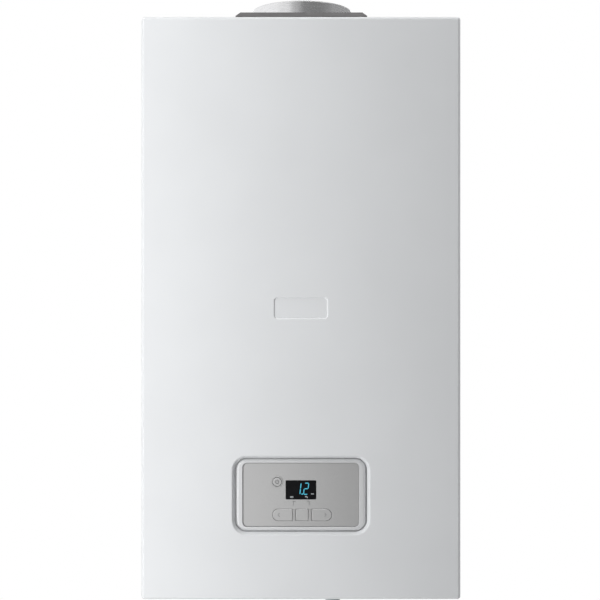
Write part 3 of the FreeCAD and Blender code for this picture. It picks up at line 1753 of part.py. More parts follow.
def plate_exchanger():
    """Brazed stack of pressed plates between the two manifolds."""
    length = 2 * BLOCK_INNER
    stack = body("plate_stack", (0, BLOCK_BACK - S.plate_depth, plate_low()))
    pad(stack, rectangle(sketch(stack), length, S.plate_depth, (0, S.plate_depth / 2)), S.plate_height)
    doc.recompute()
    grooves = []
    count = int(number(S.plate_height) // number(S.plate_pitch)) - 1
    for k in range(count):
        z = plate_low() + S.plate_pitch * (k + 1) - S.plate_groove / 2
        size = (length + 2 * S.overrun, S.plate_groove, S.plate_groove)
        for y in (BLOCK_BACK - S.plate_depth, BLOCK_BACK - S.plate_groove):
            grooves.append(box("plate_line", (size[0] / -2, y, z), size))
    keep(less("plate_exchanger", stack, *grooves), "plate_exchanger")


def pump_housing():
    """Volute on the return manifold, with an inlet boss below and a chamber for the impeller."""
    drum = rod("pump_drum", S.pump_radius, S.pump_housing_depth, (BLOCK_X, PUMP_BACK, PUMP_Z), "front")
    boss_low = pump_inlet_low()
    boss = rod("pump_boss", S.pump_inlet_radius, PUMP_Z - boss_low, (BLOCK_X, TAP_Y, boss_low))
    room = S.pump_housing_depth - S.pump_wall + S.overrun
    chamber = rod(
        "pump_chamber", S.pump_chamber_radius, room, (BLOCK_X, PUMP_BACK - S.pump_wall, PUMP_Z), "front"
    )
    inlet = rod(
        "pump_inlet",
        S.copper_radius,
        PUMP_Z - boss_low + S.overrun,
        (BLOCK_X, TAP_Y, boss_low - S.overrun),
    )
    keep(less("pump_housing", join("pump_solid", drum, boss), chamber, inlet), "pump_housing")


def pump_motor():
    """Motor can with cooling grooves and a blind bore for the rotor shaft."""
    edge = S.pump_motor_radius / 8
    bore = S.pump_shaft_radius + S.running_gap
    deep = PUMP_MOTOR_LENGTH - S.pump_wall
    head = PUMP_MOTOR_LENGTH * 2 / 3
    profile = [
        (bore, 0),
        (S.pump_radius, 0),
        (S.pump_radius, S.pump_wall),
        (S.pump_motor_radius, S.pump_wall),
        (S.pump_motor_radius, head),
        (S.pump_motor_radius - edge, head + edge),
        (S.pump_motor_radius - edge, PUMP_MOTOR_LENGTH - edge),
        (S.pump_motor_radius - 2 * edge, PUMP_MOTOR_LENGTH),
        (0, PUMP_MOTOR_LENGTH),
        (0, deep),
        (bore, deep),
    ]
    keep(turned("pump_motor", profile, (BLOCK_X, PUMP_FRONT, PUMP_Z), "front"), "pump_motor")


def pump_impeller():
    """Impeller in the housing. Its axis points at the wall, so the shaft runs forward into the motor."""
    low = S.pump_impeller_play + S.pump_hub_thickness
    high = S.pump_housing_depth - S.pump_wall - S.pump_impeller_play
    shaft_low = S.pump_wall * 2 - PUMP_MOTOR_LENGTH
    bladed_wheel(
        "pump_impeller", S.pump_hub_thickness, S.pump_impeller_radius, low, high,
        S.pump_shaft_radius, shaft_low, PUMP_BLADES, (BLOCK_X, PUMP_FRONT, PUMP_Z), "back",
    )


def exchanger_pipe(name, start, side):
    """Copper pipe from a manifold's top up to the heat cell's stub."""
    x, y, z = water_stub(side)
    foot_x, foot_y, foot_z = start
    route = [
        (foot_x, foot_y, foot_z),
        (foot_x, foot_y, between(foot_z, z, COPPER_RISE_SHARE)),
        (x, y, between(foot_z, z, COPPER_ACROSS_SHARE)),
        (x, y, z),
    ]
    keep(pipe(name, route, S.copper_radius, S.pipe_wall, S.copper_radius * BEND_RADII), name)


def vessel_low():
    return ROOF - S.vessel_roof_gap - S.vessel_height


def expansion_vessel():
    """Flat pressed-steel vessel in two halves with a crimped rim."""
    x, z = VESSEL_X, vessel_low()
    y = CELL_BACK - VESSEL_DEPTH / 2
    size = (S.vessel_width, VESSEL_DEPTH, S.vessel_height)
    tank = rounded("tank", block("tank_block", (x, y, z), size), S.vessel_radius, lambda edge: True)
    rim_size = (
        S.vessel_rim_thickness, VESSEL_DEPTH - 2 * S.vessel_rim, S.vessel_height + 2 * S.vessel_rim
    )
    crimp = rounded(
        "crimp",
        block("crimp_block", (x, y, z - S.vessel_rim), rim_size),
        S.vessel_radius,
        runs_along("x"),
    )
    nipple = rod(
        "vessel_nipple",
        S.hose_radius + S.hose_wall,
        2 * S.vessel_rim + S.hose_wall,
        (x, y, z - 2 * S.vessel_rim),
    )
    bore = rod(
        "vessel_bore",
        S.hose_radius - S.hose_wall,
        S.vessel_radius,
        (x, y, z - 2 * S.vessel_rim - S.hose_wall),
    )
    room_size = [length - 2 * S.vessel_wall for length in size]
    room_block = block("vessel_room_block", (x, y, z + S.vessel_wall), room_size)
    room = rounded("vessel_room", room_block, S.vessel_radius - S.vessel_wall, lambda edge: True)
    keep(
        less("expansion_vessel", join("tank_and_crimp", tank, crimp, nipple), bore, room),
        "expansion_vessel",
    )


def vessel_hose():
    """Flexible hose from the vessel down to the return manifold."""
    x, y = VESSEL_X, CELL_BACK - VESSEL_DEPTH / 2
    high = vessel_low() - 2 * S.vessel_rim
    foot_x, foot_y, foot_z = hose_x(), flow_pipe_y(), BLOCK_HIGH
    upper, middle, lower = [between(high, foot_z, share) for share in VESSEL_DROP_SHARES]
    across = VESSEL_ACROSS_SHARE
    route = [
        (x, y, high),
        (x, y, upper),
        (between(x, foot_x, across), between(y, foot_y, across), middle),
        (foot_x, foot_y, lower),
        (foot_x, foot_y, foot_z),
    ]
    keep(pipe("vessel_hose", route, S.hose_radius, S.hose_wall), "vessel_hose")


def actuator_front():
    return BLOCK_BACK - S.flow_block_depth - S.bonnet_length


def diverter_actuator():
    """Plug-on motor that drives the diverter's spindle."""
    y = actuator_front()
    z = BLOCK_LOW + S.actuator_up
    case = body("actuator_case", (-BLOCK_X, y, z), "front")
    pad(
        case,
        soft_rectangle(sketch(case), S.actuator_width, S.actuator_height, S.actuator_radius),
        S.actuator_depth,
    )
    soften(case, "Fillet", S.actuator_radius / 2, lies_at("z", S.actuator_depth))
    bore = circle(sketch(case), S.spindle_radius + S.running_gap)
    pocket(case, bore, S.spindle_in_motor + S.overrun, towards=1)
    keep(case, "diverter_actuator")


def diverter_spindle():
    """Push rod between the motor and the diverter's seat."""
    length = S.spindle_in_motor + S.bonnet_length + S.spindle_in_block
    at = (-BLOCK_X, actuator_front() - S.spindle_in_motor, BLOCK_LOW + S.actuator_up)
    keep(rod("diverter_spindle", S.spindle_radius, length, at, "back"), "diverter_spindle")


def relief_place():
    x = -BLOCK_INNER - S.relief_inset
    return x, BLOCK_BACK - S.flow_block_depth, BLOCK_LOW + S.relief_up


def relief_pipe_place():
    x, y, _ = relief_place()
    return x, y - S.relief_length / 2


def relief_valve():
    """Safety valve on the left manifold with a discharge pipe down through the floor."""
    x, y, z = relief_place()
    barrel = rod("relief_barrel", S.relief_radius, S.relief_length, (x, y, z), "front")
    stem = rod(
        "relief_stem", S.relief_stem_radius, S.relief_length + S.relief_stem_length, (x, y, z), "front"
    )
    px, py = relief_pipe_place()
    drop = z - TAP_LOW
    boss_drop = S.relief_radius + S.relief_boss
    boss = rod("relief_boss", S.relief_pipe_radius + S.relief_boss, boss_drop, (px, py, z), "down")
    spout = rod("relief_spout", S.relief_pipe_radius, drop, (px, py, z), "down")
    bore = rod(
        "relief_spout_bore", S.relief_pipe_radius - S.pipe_wall, drop, (px, py, z - S.overrun), "down"
    )
    keep(less("relief_valve", join("relief_solid", barrel, stem, boss, spout), bore), "relief_valve")


def relief_knob():
    """Fluted cap on the valve's stem that lifts the valve when it is turned."""
    x, y, z = relief_place()
    bore = S.relief_stem_radius + S.running_gap
    deep = S.relief_stem_length - S.relief_knob_gap + S.relief_knob_gap / 2
    edge = S.relief_knob_radius / 6
    profile = [
        (bore, 0),
        (S.relief_knob_radius, 0),
        (S.relief_knob_radius, S.relief_knob_length - edge),
        (S.relief_knob_radius - edge, S.relief_knob_length),
        (0, S.relief_knob_length),
        (0, deep),
        (bore, deep),
    ]
    knob = turned("relief_knob", profile, (x, y - S.relief_length - S.relief_knob_gap, z), "front")
    doc.recompute()
    flute = circle(sketch(knob), S.knob_flute, (S.relief_knob_radius + S.knob_flute / 3, 0))
    cut = pocket(knob, flute, S.relief_knob_length + S.overrun, towards=1)
    spin(knob, cut, KNOB_FLUTES)
    keep(knob, "relief_knob")


# Condensate


def condensate_trap():
    """Bottle trap with a screw cup, a neck above and an outlet pipe down through the floor."""
    cup = TRAP_HEIGHT / 4
    shoulder = TRAP_HEIGHT - S.trap_neck_height
    slope = S.trap_radius - S.trap_neck_radius
    profile = [
        (0, 0),
        (S.trap_cup_radius - S.trap_neck_height / 2, 0),
        (S.trap_cup_radius, S.trap_neck_height / 2),
        (S.trap_cup_radius, cup),
        (S.trap_radius, cup),
        (S.trap_radius, shoulder - slope),
        (S.trap_neck_radius, shoulder),
        (S.trap_neck_radius, TRAP_HEIGHT),
        (0, TRAP_HEIGHT),
    ]
    top = TRAP_LOW + TRAP_HEIGHT
    bottle = turned("bottle", profile, (TRAP_X, TRAP_Y, TRAP_LOW))
    outlet = rod(
        "bottle_outlet", S.trap_outlet_radius, TRAP_LOW - TAP_LOW + S.trap_wall, (TRAP_X, TRAP_Y, TAP_LOW)
    )
    seat = rod(
        "bottle_seat", S.condensate_radius + S.fit_gap, S.trap_neck_height, (TRAP_X, TRAP_Y, top), "down"
    )
    room_height = shoulder - slope - 2 * S.trap_wall
    room = rod(
        "bottle_room", S.trap_radius - S.trap_wall, room_height, (TRAP_X, TRAP_Y, TRAP_LOW + S.trap_wall)
    )
    bore_length = top - TAP_LOW + 2 * S.overrun
    bore_radius = S.trap_outlet_radius - 2 * S.pipe_wall
    bore = rod("bottle_bore", bore_radius, bore_length, (TRAP_X, TRAP_Y, TAP_LOW - S.overrun))
    keep(
        less("condensate_trap", join("bottle_and_outlet", bottle, outlet), seat, room, bore),
        "condensate_trap",
    )


def condensate_hose():
    """Hose from the heat cell's drain down into the trap's neck."""
    x, y, high = drain_stub()
    low = TRAP_LOW + TRAP_HEIGHT - S.trap_neck_height + S.fit_gap
    upper, lower = [between(high, low, share) for share in DRAIN_DROP_SHARES]
    route = [
        (x, y, high),
        (x, y, upper),
        (TRAP_X, TRAP_Y, lower),
        (TRAP_X, TRAP_Y, low),
    ]
    keep(pipe("condensate_hose", route, S.condensate_radius, S.hose_wall), "condensate_hose")


# Mains lead and controls


def cable_gland():
    """Screwed gland in the floor where the mains lead goes in. The lead itself isn't part of the boiler."""
    profile = [
        (S.gland_bore, -S.gland_drop),
        (S.gland_radius, -S.gland_drop),
        (S.gland_flange, -2 * S.gland_nut),
        (S.gland_flange, 0),
        (S.gland_radius, 0),
        (S.gland_radius, S.casing_sheet),
        (S.gland_flange, S.casing_sheet),
        (S.gland_flange, S.casing_sheet + S.gland_nut),
        (S.gland_bore, S.casing_sheet + S.gland_nut),
    ]
    keep(turned("cable_gland", profile, (GLAND_X, GLAND_Y, FLOOR)), "cable_gland")


def control_carrier():
    """Folded plate on the floor that carries the control box."""
    low = FLOOR + S.casing_sheet
    carrier = body("control_carrier", (S.carrier_width / -2, 0, low), "up")
    back = CARRIER_BACK
    profile = [
        (back - S.casing_sheet, 0),
        (back + S.carrier_foot, 0),
        (back + S.carrier_foot, S.casing_sheet),
        (back, S.casing_sheet),
        (back, S.carrier_height),
        (back - S.casing_sheet, S.carrier_height),
    ]
    pad(carrier, polygon(sketch(carrier, "YZ_Plane"), profile), S.carrier_width)
    keep(carrier, "control_carrier")


def control_box():
    """Moulded tub on the carrier, open to the front."""
    tub = body("tub", (0, CARRIER_FRONT, CONTROL_Z), "front")
    depth = S.control_box_depth
    pad(
        tub,
        soft_rectangle(sketch(tub), S.control_box_width, S.control_box_height, S.fascia_radius),
        depth,
    )
    wall = 2 * S.control_box_wall
    width, height = S.control_box_width - wall, S.control_box_height - wall
    room = soft_rectangle(sketch(tub, lift=depth), width, height, S.fascia_radius - S.control_box_wall)
    pocket(tub, room, depth - S.control_box_wall)
    keep(tub, "control_box")


def bezel_face():
    """How far the bezel's crown stands in front of its back."""
    return BEZEL_BACK - FRONT - S.bezel_front_gap


def control_bezel():
    """Frame that closes the box: a flange, a raised rounded ring and a ledge for the fascia."""
    frame = body("bezel_frame", (0, BEZEL_BACK, CONTROL_Z), "front")
    high = bezel_face()
    pad(
        frame,
        soft_rectangle(sketch(frame), S.control_box_width, S.control_box_height, S.fascia_radius),
        S.bezel_flange,
    )
    pad(frame, soft_rectangle(sketch(frame), S.bezel_width, S.bezel_height, S.bezel_radius), high)
    opening = soft_rectangle(sketch(frame, lift=high), S.fascia_width, S.fascia_height, S.fascia_radius)
    pocket(frame, opening, S.fascia_sink + S.fascia_thickness)
    ledge = 2 * S.fascia_ledge
    width, height = S.fascia_width - ledge, S.fascia_height - ledge
    through = soft_rectangle(sketch(frame, lift=high), width, height, S.fascia_radius - S.fascia_ledge)
    pocket(frame, through, high + S.overrun)
    within = inside(S.fascia_width / 2, S.fascia_height / 2)
    front = lies_at("z", high)
    soften(frame, "Fillet", S.bezel_crown, lambda edge: front(edge) and not within(edge))
    soften(frame, "Fillet", S.bezel_lip, lambda edge: front(edge) and within(edge))
    keep(frame, "control_bezel")


def fascia_back():
    return BEZEL_BACK - (bezel_face() - S.fascia_sink - S.fascia_thickness)


def button_row():
    """Centre and width of the three buttons in the lower row, from left to right."""
    step = S.centre_button_width / 2 + S.button_spacing + S.side_button_width / 2
    widths = (S.side_button_width, S.centre_button_width, S.side_button_width)
    return [(S.button_row_right + step * k, width) for k, width in zip((-1, 0, 1), widths)]


def button_outline(made, index, grow):
    """A lower button's outline: square ends inside, and a half-round end on the outer side."""
    x, width = button_row()[index]
    low = -S.button_row_down - S.button_row_height / 2 - grow
    high = -S.button_row_down + S.button_row_height / 2 + grow
    left, right = x - width / 2 - grow, x + width / 2 + grow
    square = S.button_corner
    full = S.button_row_height / 2 + grow - square / 4
    left_radius = full if index == 0 else square
    right_radius = full if index == 2 else square
    return outline(
        made,
        [
            (left, low, left_radius),
            (right, low, right_radius),
            (right, high, right_radius),
            (left, high, left_radius),
        ],
    )


def control_fascia():
    """Flat plate in the bezel with openings for the screen and the buttons."""
    plate = body("fascia_plate", (0, fascia_back(), CONTROL_Z), "front")
    gap = 2 * S.fascia_gap
    pad(
        plate,
        soft_rectangle(
            sketch(plate), S.fascia_width - gap, S.fascia_height - gap, S.fascia_radius - S.fascia_gap
        ),
        S.fascia_thickness,
    )
    top = S.fascia_thickness
    window = soft_rectangle(
        sketch(plate, lift=top), S.screen_width, S.screen_height, S.screen_radius, (0, S.screen_up)
    )
    pocket(plate, window, top + S.overrun)
    hole = circle(sketch(plate, lift=top), S.reset_radius + S.button_gap, (-S.reset_left, S.reset_up))
    pocket(plate, hole, top + S.overrun)
    for index in range(3):
        pocket(plate, button_outline(sketch(plate, lift=top), index, S.button_gap), top + S.overrun)
    front = lies_at("z", top)
    rim = inside(S.fascia_width / 2 - S.fascia_radius, S.fascia_height / 2 - S.fascia_radius)
    soften(plate, "Fillet", S.fascia_edge, lambda edge: front(edge) and not rim(edge))
    soften(plate, "Fillet", S.fascia_lip, lambda edge: front(edge) and rim(edge) and not screen_edge(edge))
    keep(plate, "control_fascia")


def screen_edge(edge):
    """Picks the edges of the fascia's window for the screen."""
    spot = edge.BoundBox.Center
    beside, above = abs(spot.x), abs(spot.y - number(S.screen_up))
    return beside < number(S.screen_width / 2) + TOUCH and above < number(S.screen_height / 2) + TOUCH


def display_screen():
    """Dark display module that fills the fascia's window and rests on the board."""
    module = body("screen_module", (0, fascia_back() + S.board_behind, CONTROL_Z), "front")
    gap = S.fascia_gap
    profile = soft_rectangle(
        sketch(module),
        S.screen_width - gap,
        S.screen_height - gap,
        S.screen_radius - gap / 2,
        (0, S.screen_up),
    )
    pad(module, profile, S.board_behind + S.fascia_thickness - S.screen_sink)
    keep(module, "display_screen")


def display_board():
    """Circuit board behind the fascia, within the bezel's ledge."""
    at = (0, fascia_back() + S.board_behind + S.board_thickness, CONTROL_Z)
    board = body("board", at, "front")
    inset = 2 * (S.fascia_ledge + S.fascia_gap)
    pad(
        board,
        soft_rectangle(
            sketch(board),
            S.fascia_width - inset,
            S.fascia_height - inset,
            S.fascia_radius - S.fascia_ledge,
        ),
        S.board_thickness,
    )
    keep(board, "display_board")


def button_depths():
    """Where a button's flange starts behind the fascia, and how tall its cap is."""
    back = S.fascia_gap + S.button_flange_thickness
    return back, S.fascia_thickness + S.fascia_gap + S.button_proud


def reset_button():
    back, cap = button_depths()
    button = body("reset_button", (0, fascia_back() + back, CONTROL_Z), "front")
    spot = (-S.reset_left, S.reset_up)
    pad(button, circle(sketch(button), S.reset_radius + S.button_flange, spot), S.button_flange_thickness)
    pad(button, circle(sketch(button, lift=S.button_flange_thickness), S.reset_radius, spot), cap)
    soften(button, "Fillet", S.button_crown, lies_at("z", S.button_flange_thickness + cap))
    keep(button, "reset_button")


def row_button(name, index):
    back, cap = button_depths()
    button = body(name, (0, fascia_back() + back, CONTROL_Z), "front")
    pad(button, button_outline(sketch(button), index, S.button_flange), S.button_flange_thickness)
    pad(button, button_outline(sketch(button, lift=S.button_flange_thickness), index, 0), cap)
    soften(button, "Fillet", S.button_crown, lies_at("z", S.button_flange_thickness + cap))
    keep(button, name)


def build():
    back_frame()
    wall_bracket()
    side_panels()
    top_panel()
    bottom_panel()
    front_cover()
    cover_studs()
    cover_gasket()
    flue_base()
    flue_base_screws()
    air_collar()
    flue_socket()
    flue_seal()
    flue_duct()
    exchanger_shell()
    exchanger_core()
    burner_door()
    door_nuts()
    burner()
    electrodes()
    mounting_brackets()
    fan_housing()
    fan_motor()
    fan_impeller()
    mixture_duct()
    venturi()
    air_silencer()
    gas_valve()
    gas_supply_pipe()
    gas_feed_pipe()
    heating_stubs()
    tap_water_pipes()
    flow_block()
    return_block()
    plate_exchanger()
    pump_housing()
    pump_motor()
    pump_impeller()
    exchanger_pipe("exchanger_flow_pipe", (-BLOCK_X, flow_pipe_y(), BLOCK_HIGH), -1)
    exchanger_pipe("exchanger_return_pipe", (return_pipe_x(), flow_pipe_y(), BLOCK_HIGH), 1)
    expansion_vessel()
    vessel_hose()
    diverter_actuator()
    diverter_spindle()
    relief_valve()
    relief_knob()
    condensate_trap()
    condensate_hose()
    cable_gland()
    control_carrier()
    control_box()
    control_bezel()
    control_fascia()
    display_screen()
    display_board()
    reset_button()
    for index, name in enumerate(("left_button", "centre_button", "right_button")):
        row_button(name, index)


def check():
    """Stops before anything is written if an object failed or a sub-part has no sound solid."""
    doc.recompute()
    for thing in doc.Objects:
        if "Invalid" in thing.State or "Error" in thing.State:
            raise RuntimeError(f"{thing.Name} did not compute: {thing.State}")
    for thing in SUBPARTS:
        shape = thing.Shape
        if shape.isNull() or not shape.isValid() or not shape.Solids:
            raise RuntimeError(f"{thing.Label} is not a sound solid")


def write():
    os.makedirs("parts", exist_ok=True)
    for thing in SUBPARTS:
        thing.Shape.exportStep(f"parts/{thing.Label}.step")
    print(len(SUBPARTS), "sub-parts written")


build()
check()
write()
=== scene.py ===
import json
import math
from collections import namedtuple

import bmesh
import bpy
from mathutils import Matrix, Vector


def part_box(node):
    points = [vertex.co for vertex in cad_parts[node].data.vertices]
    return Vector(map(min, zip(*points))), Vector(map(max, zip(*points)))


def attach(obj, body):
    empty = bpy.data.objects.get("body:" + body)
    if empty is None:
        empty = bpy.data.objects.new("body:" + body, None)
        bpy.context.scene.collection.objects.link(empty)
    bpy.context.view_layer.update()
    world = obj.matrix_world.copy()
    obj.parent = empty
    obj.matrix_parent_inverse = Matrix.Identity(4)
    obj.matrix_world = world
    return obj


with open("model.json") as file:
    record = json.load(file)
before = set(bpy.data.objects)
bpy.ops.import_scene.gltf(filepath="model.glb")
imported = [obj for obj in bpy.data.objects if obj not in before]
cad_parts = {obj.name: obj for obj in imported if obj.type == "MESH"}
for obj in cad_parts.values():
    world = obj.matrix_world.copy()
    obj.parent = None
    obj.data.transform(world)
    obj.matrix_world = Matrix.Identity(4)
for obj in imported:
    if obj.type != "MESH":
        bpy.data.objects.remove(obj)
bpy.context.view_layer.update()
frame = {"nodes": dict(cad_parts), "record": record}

MOUNTS = {row["name"]: row for row in frame["record"]["mounts"]}
SCENE = bpy.context.scene
MM = 0.001
UP, DOWN = Vector((0, 0, 1)), Vector((0, 0, -1))
FRONT, BACK = Vector((0, -1, 0)), Vector((0, 1, 0))
LEFT, RIGHT = Vector((-1, 0, 0)), Vector((1, 0, 0))

# Materials: a Principled shader whose colour, roughness and surface vary with noise, with sizes in mm


class Look:
    def __init__(self, name, colour, rough, metal=0.0):
        self.name = name
        self.material = bpy.data.materials.new(name)
        self.material.use_nodes = True
        self.tree = self.material.node_tree
        self.shader = self.tree.nodes["Principled BSDF"]
        self.place = self.node("ShaderNodeTexCoord").outputs["Object"]
        self.tinted = (*colour, 1.0)
        self.bumped = None
        self.set("Base Color", self.tinted).set("Roughness", rough).set("Metallic", metal)

    def fill(self, socket, value):
        """Links a socket to what another node gives, or sets its value."""
        if isinstance(value, bpy.types.NodeSocket):
            self.tree.links.new(value, socket)
        else:
            socket.default_value = value

    def set(self, name, value):
        self.fill(self.shader.inputs[name], value)
        return self

    def node(self, kind, **values):
        made = self.tree.nodes.new(kind)
        for key, value in values.items():
            self.fill(made.inputs[key.replace("_", " ")], value)
        return made

    def stretched(self, stretch):
        if stretch is None:
            return self.place
        return self.node("ShaderNodeMapping", Vector=self.place, Scale=stretch).outputs["Vector"]

    def noise(self, size, detail=3.0, stretch=None):
        """Cloudy pattern whose features are about size mm across."""
        sizes = {"Scale": 1 / (size * MM), "Detail": detail}
        return self.node("ShaderNodeTexNoise", Vector=self.stretched(stretch), **sizes).outputs["Fac"]

    def cells(self, size, stretch=None):
        """Flat patches about size mm across, each with a value of its own."""
        made = self.node("ShaderNodeTexVoronoi", Vector=self.stretched(stretch), Scale=1 / (size * MM))
        return self.node("ShaderNodeRGBToBW", Color=made.outputs["Color"]).outputs["Val"]

    def spread(self, value, low, high, start=0.0, end=1.0):
        """Maps low to start and high to end."""
        ends = {"From_Min": low, "From_Max": high, "To_Min": start, "To_Max": end}
        return self.node("ShaderNodeMapRange", Value=value, **ends).outputs["Result"]

    def tint(self, value, other, low=0.4, high=0.6):
        """Mixes another colour in where value rises from low to high."""
        mix = self.node("ShaderNodeMix", Factor=self.spread(value, low, high))
        mix.data_type = "RGBA"
        first, second = (socket for socket in mix.inputs if socket.type == "RGBA")
        self.fill(first, self.tinted)
        self.fill(second, (*other, 1.0))
        self.tinted = next(socket for socket in mix.outputs if socket.type == "RGBA")
        return self.set("Base Color", self.tinted)

    def roughen(self, value, smooth, rough, low=0.35, high=0.65):
        return self.set("Roughness", self.spread(value, low, high, smooth, rough))

    def bump(self, value, depth, strength=1.0):
        """Raises the surface by up to depth mm where value is 1."""
        made = self.node("ShaderNodeBump", Height=value, Strength=strength, Distance=depth * MM)
        if self.bumped:
            self.fill(made.inputs["Normal"], self.bumped)
        self.bumped = made.outputs["Normal"]
        return self.set("Normal", self.bumped)


def scaled(colour, share):
    return tuple(channel * share for channel in colour)


def enamel(name, colour, rough, coat=0.0):
    """Sprayed and baked paint: orange peel, and a trace of unevenness in tone and gloss."""
    look = Look(name, colour, rough)
    look.tint(look.noise(110, detail=2), scaled(colour, 0.975), low=0.35, high=0.7)
    look.roughen(look.noise(30), smooth=rough * 0.88, rough=rough * 1.15)
    look.bump(look.noise(1.6, detail=1), depth=0.02, strength=0.35)
    if coat:
        look.set("Coat Weight", coat).set("Coat Roughness", 0.08)
    return look


def zinc(name, colour):
    """Galvanised sheet: flat crystals of slightly different grey, and dull smears."""
    look = Look(name, colour, rough=0.42, metal=1.0)
    crystals = look.cells(9)
    look.tint(crystals, scaled(colour, 0.72), low=0.3, high=0.9)
    look.tint(look.noise(60), scaled(colour, 0.8), low=0.5, high=0.75)
    look.roughen(crystals, smooth=0.34, rough=0.52)
    return look.bump(look.noise(0.7), depth=0.012, strength=0.4)


def brushed(name, colour, rough, stretch, metal=1.0):
    """Metal with fine parallel scratches. Stretch is small along the grain."""
    look = Look(name, colour, rough, metal)
    grain = look.noise(0.5, detail=4, stretch=stretch)
    look.tint(grain, scaled(colour, 0.86), low=0.42, high=0.68)
    look.roughen(grain, smooth=rough * 0.85, rough=rough * 1.2)
    return look.bump(grain, depth=0.01, strength=0.5)


def cast(name, colour, rough, metal=1.0):
    """Sand or die casting: a fine grain with darker, duller patches."""
    look = Look(name, colour, rough, metal)
    look.tint(look.noise(20), scaled(colour, 0.74), low=0.45, high=0.75)
    look.roughen(look.noise(4), smooth=rough * 0.85, rough=rough * 1.2)
    look.bump(look.noise(1.1), depth=0.09, strength=0.5)
    return look.bump(look.noise(9, detail=2), depth=0.25, strength=0.3)


def moulded(name, colour, rough, grain=0.5, depth=0.02):
    """Plastic with a spark-eroded mould's fine grain, and handling marks."""
    look = Look(name, colour, rough)
    look.tint(look.noise(40), scaled(colour, 1.25), low=0.45, high=0.8)
    look.roughen(look.noise(15), smooth=rough * 0.88, rough=rough * 1.15)
    return look.bump(look.noise(grain, detail=2), depth, strength=0.6)


def drawn(name, colour, tarnish, rough):
    """Drawn tube or turned bar: bright metal with tarnish in patches and faint draw lines along Z."""
    look = Look(name, colour, rough, metal=1.0)
    look.tint(look.noise(18, detail=5), tarnish, low=0.48, high=0.72)
    look.roughen(look.noise(12, detail=4), smooth=rough * 0.75, rough=rough * 1.5)
    lines = look.noise(0.4, detail=2, stretch=(1, 1, 0.04))
    return look.bump(lines, depth=0.008, strength=0.5)


def rubber(name, colour):
    """Matt rubber or foam with a dusty bloom."""
    look = Look(name, colour, rough=0.78)
    look.tint(look.noise(7), scaled(colour, 1.9), low=0.5, high=0.85)
    look.roughen(look.noise(3), smooth=0.66, rough=0.88)
    return look.bump(look.noise(0.8), depth=0.04, strength=0.5)


def circuit(name, colour):
    """Solder mask with paler copper tracks under it."""
    look = Look(name, colour, rough=0.32)
    tracks = look.cells(2.2, stretch=(1, 1, 0.22))
    look.tint(tracks, scaled(colour, 1.8), low=0.62, high=0.66)
    look.roughen(look.noise(5), smooth=0.26, rough=0.4)
    return look.bump(tracks, depth=0.03, strength=0.4)


def display_glass(name, colour):
    """Smoked window with faint smears."""
    look = Look(name, colour, rough=0.12).set("Specular IOR Level", 0.08)
    look.tint(look.noise(6), scaled(colour, 1.6), low=0.45, high=0.8)
    return look.roughen(look.noise(9), smooth=0.1, rough=0.18)


def lit(name, colour, strength):
    """Light-emitting segment, with a slightly uneven surface."""
    look = Look(name, scaled(colour, 0.3), rough=0.5)
    look.tint(look.noise(1.5), scaled(colour, 0.5))
    return look.set("Emission Color", (*colour, 1.0)).set("Emission Strength", strength)


ROUND_GRAIN, UPRIGHT_GRAIN, LEVEL_GRAIN, NO_GRAIN = (0.05, 0.05, 1), (30, 30, 1), (1, 1, 20), (1, 1, 1)
SLOT_LOOKS = (
    enamel("white_enamel", (0.835, 0.85, 0.865), rough=0.42),
    zinc("zinc_sheet", (0.62, 0.63, 0.65)),
    rubber("grey_foam", (0.09, 0.09, 0.09)),
    moulded("flue_grey", (0.13, 0.127, 0.127), rough=0.62),
    brushed("collar_alloy", (0.86, 0.86, 0.87), rough=0.26, stretch=ROUND_GRAIN),
    moulded("flue_white", (0.78, 0.78, 0.76), rough=0.42),
    rubber("seal_rubber", (0.03, 0.03, 0.03)),
    moulded("cell_plastic", (0.035, 0.035, 0.038), rough=0.46, grain=1.2, depth=0.04),
    brushed("stainless", (0.66, 0.65, 0.64), rough=0.3, stretch=UPRIGHT_GRAIN),
    cast("cast_alloy", (0.56, 0.56, 0.57), rough=0.5),
    moulded("ceramic", (0.80, 0.77, 0.70), rough=0.25),
    moulded("motor_black", (0.03, 0.03, 0.032), rough=0.4),
    moulded("moulded_black", (0.045, 0.045, 0.048), rough=0.55),
    enamel("gas_steel", (0.64, 0.55, 0.16), rough=0.36),
    drawn("copper", (0.72, 0.42, 0.30), tarnish=(0.36, 0.18, 0.11), rough=0.3),
    drawn("brass", (0.72, 0.57, 0.30), tarnish=(0.42, 0.32, 0.15), rough=0.3),
    enamel("vessel_red", (0.45, 0.06, 0.05), rough=0.3, coat=0.3),
    rubber("black_hose", (0.04, 0.04, 0.04)),
    cast("pump_cast", (0.10, 0.11, 0.12), rough=0.6, metal=0.3),
    moulded("actuator_grey", (0.30, 0.31, 0.32), rough=0.48),
    moulded("knob_red", (0.55, 0.04, 0.03), rough=0.36),
    moulded("trap_grey", (0.36, 0.37, 0.38), rough=0.42),
    brushed("bezel_silver", (0.80, 0.81, 0.82), rough=0.28, stretch=NO_GRAIN, metal=0.25),
    brushed("fascia_silver", (0.62, 0.62, 0.62), rough=0.28, stretch=LEVEL_GRAIN, metal=0.6),
    display_glass("screen_black", (0.006, 0.006, 0.007)),
    circuit("board_green", (0.04, 0.20, 0.09)),
    brushed("button_silver", (0.63, 0.63, 0.63), rough=0.28, stretch=LEVEL_GRAIN, metal=0.6),
)
LOOKS = {look.name: look for look in SLOT_LOOKS}
INK = moulded("ink_grey", (0.09, 0.09, 0.095), rough=0.6)
LIT_CYAN = lit("lit_cyan", (0.08, 0.48, 0.64), strength=0.75)
LIT_GREY = lit("lit_grey", (0.42, 0.45, 0.46), strength=0.6)
for row in frame["record"]["subparts"]:
    materials = frame["nodes"][row["node"]].data.materials
    materials.clear()
    materials.append(LOOKS[row["material_slot"]].material)

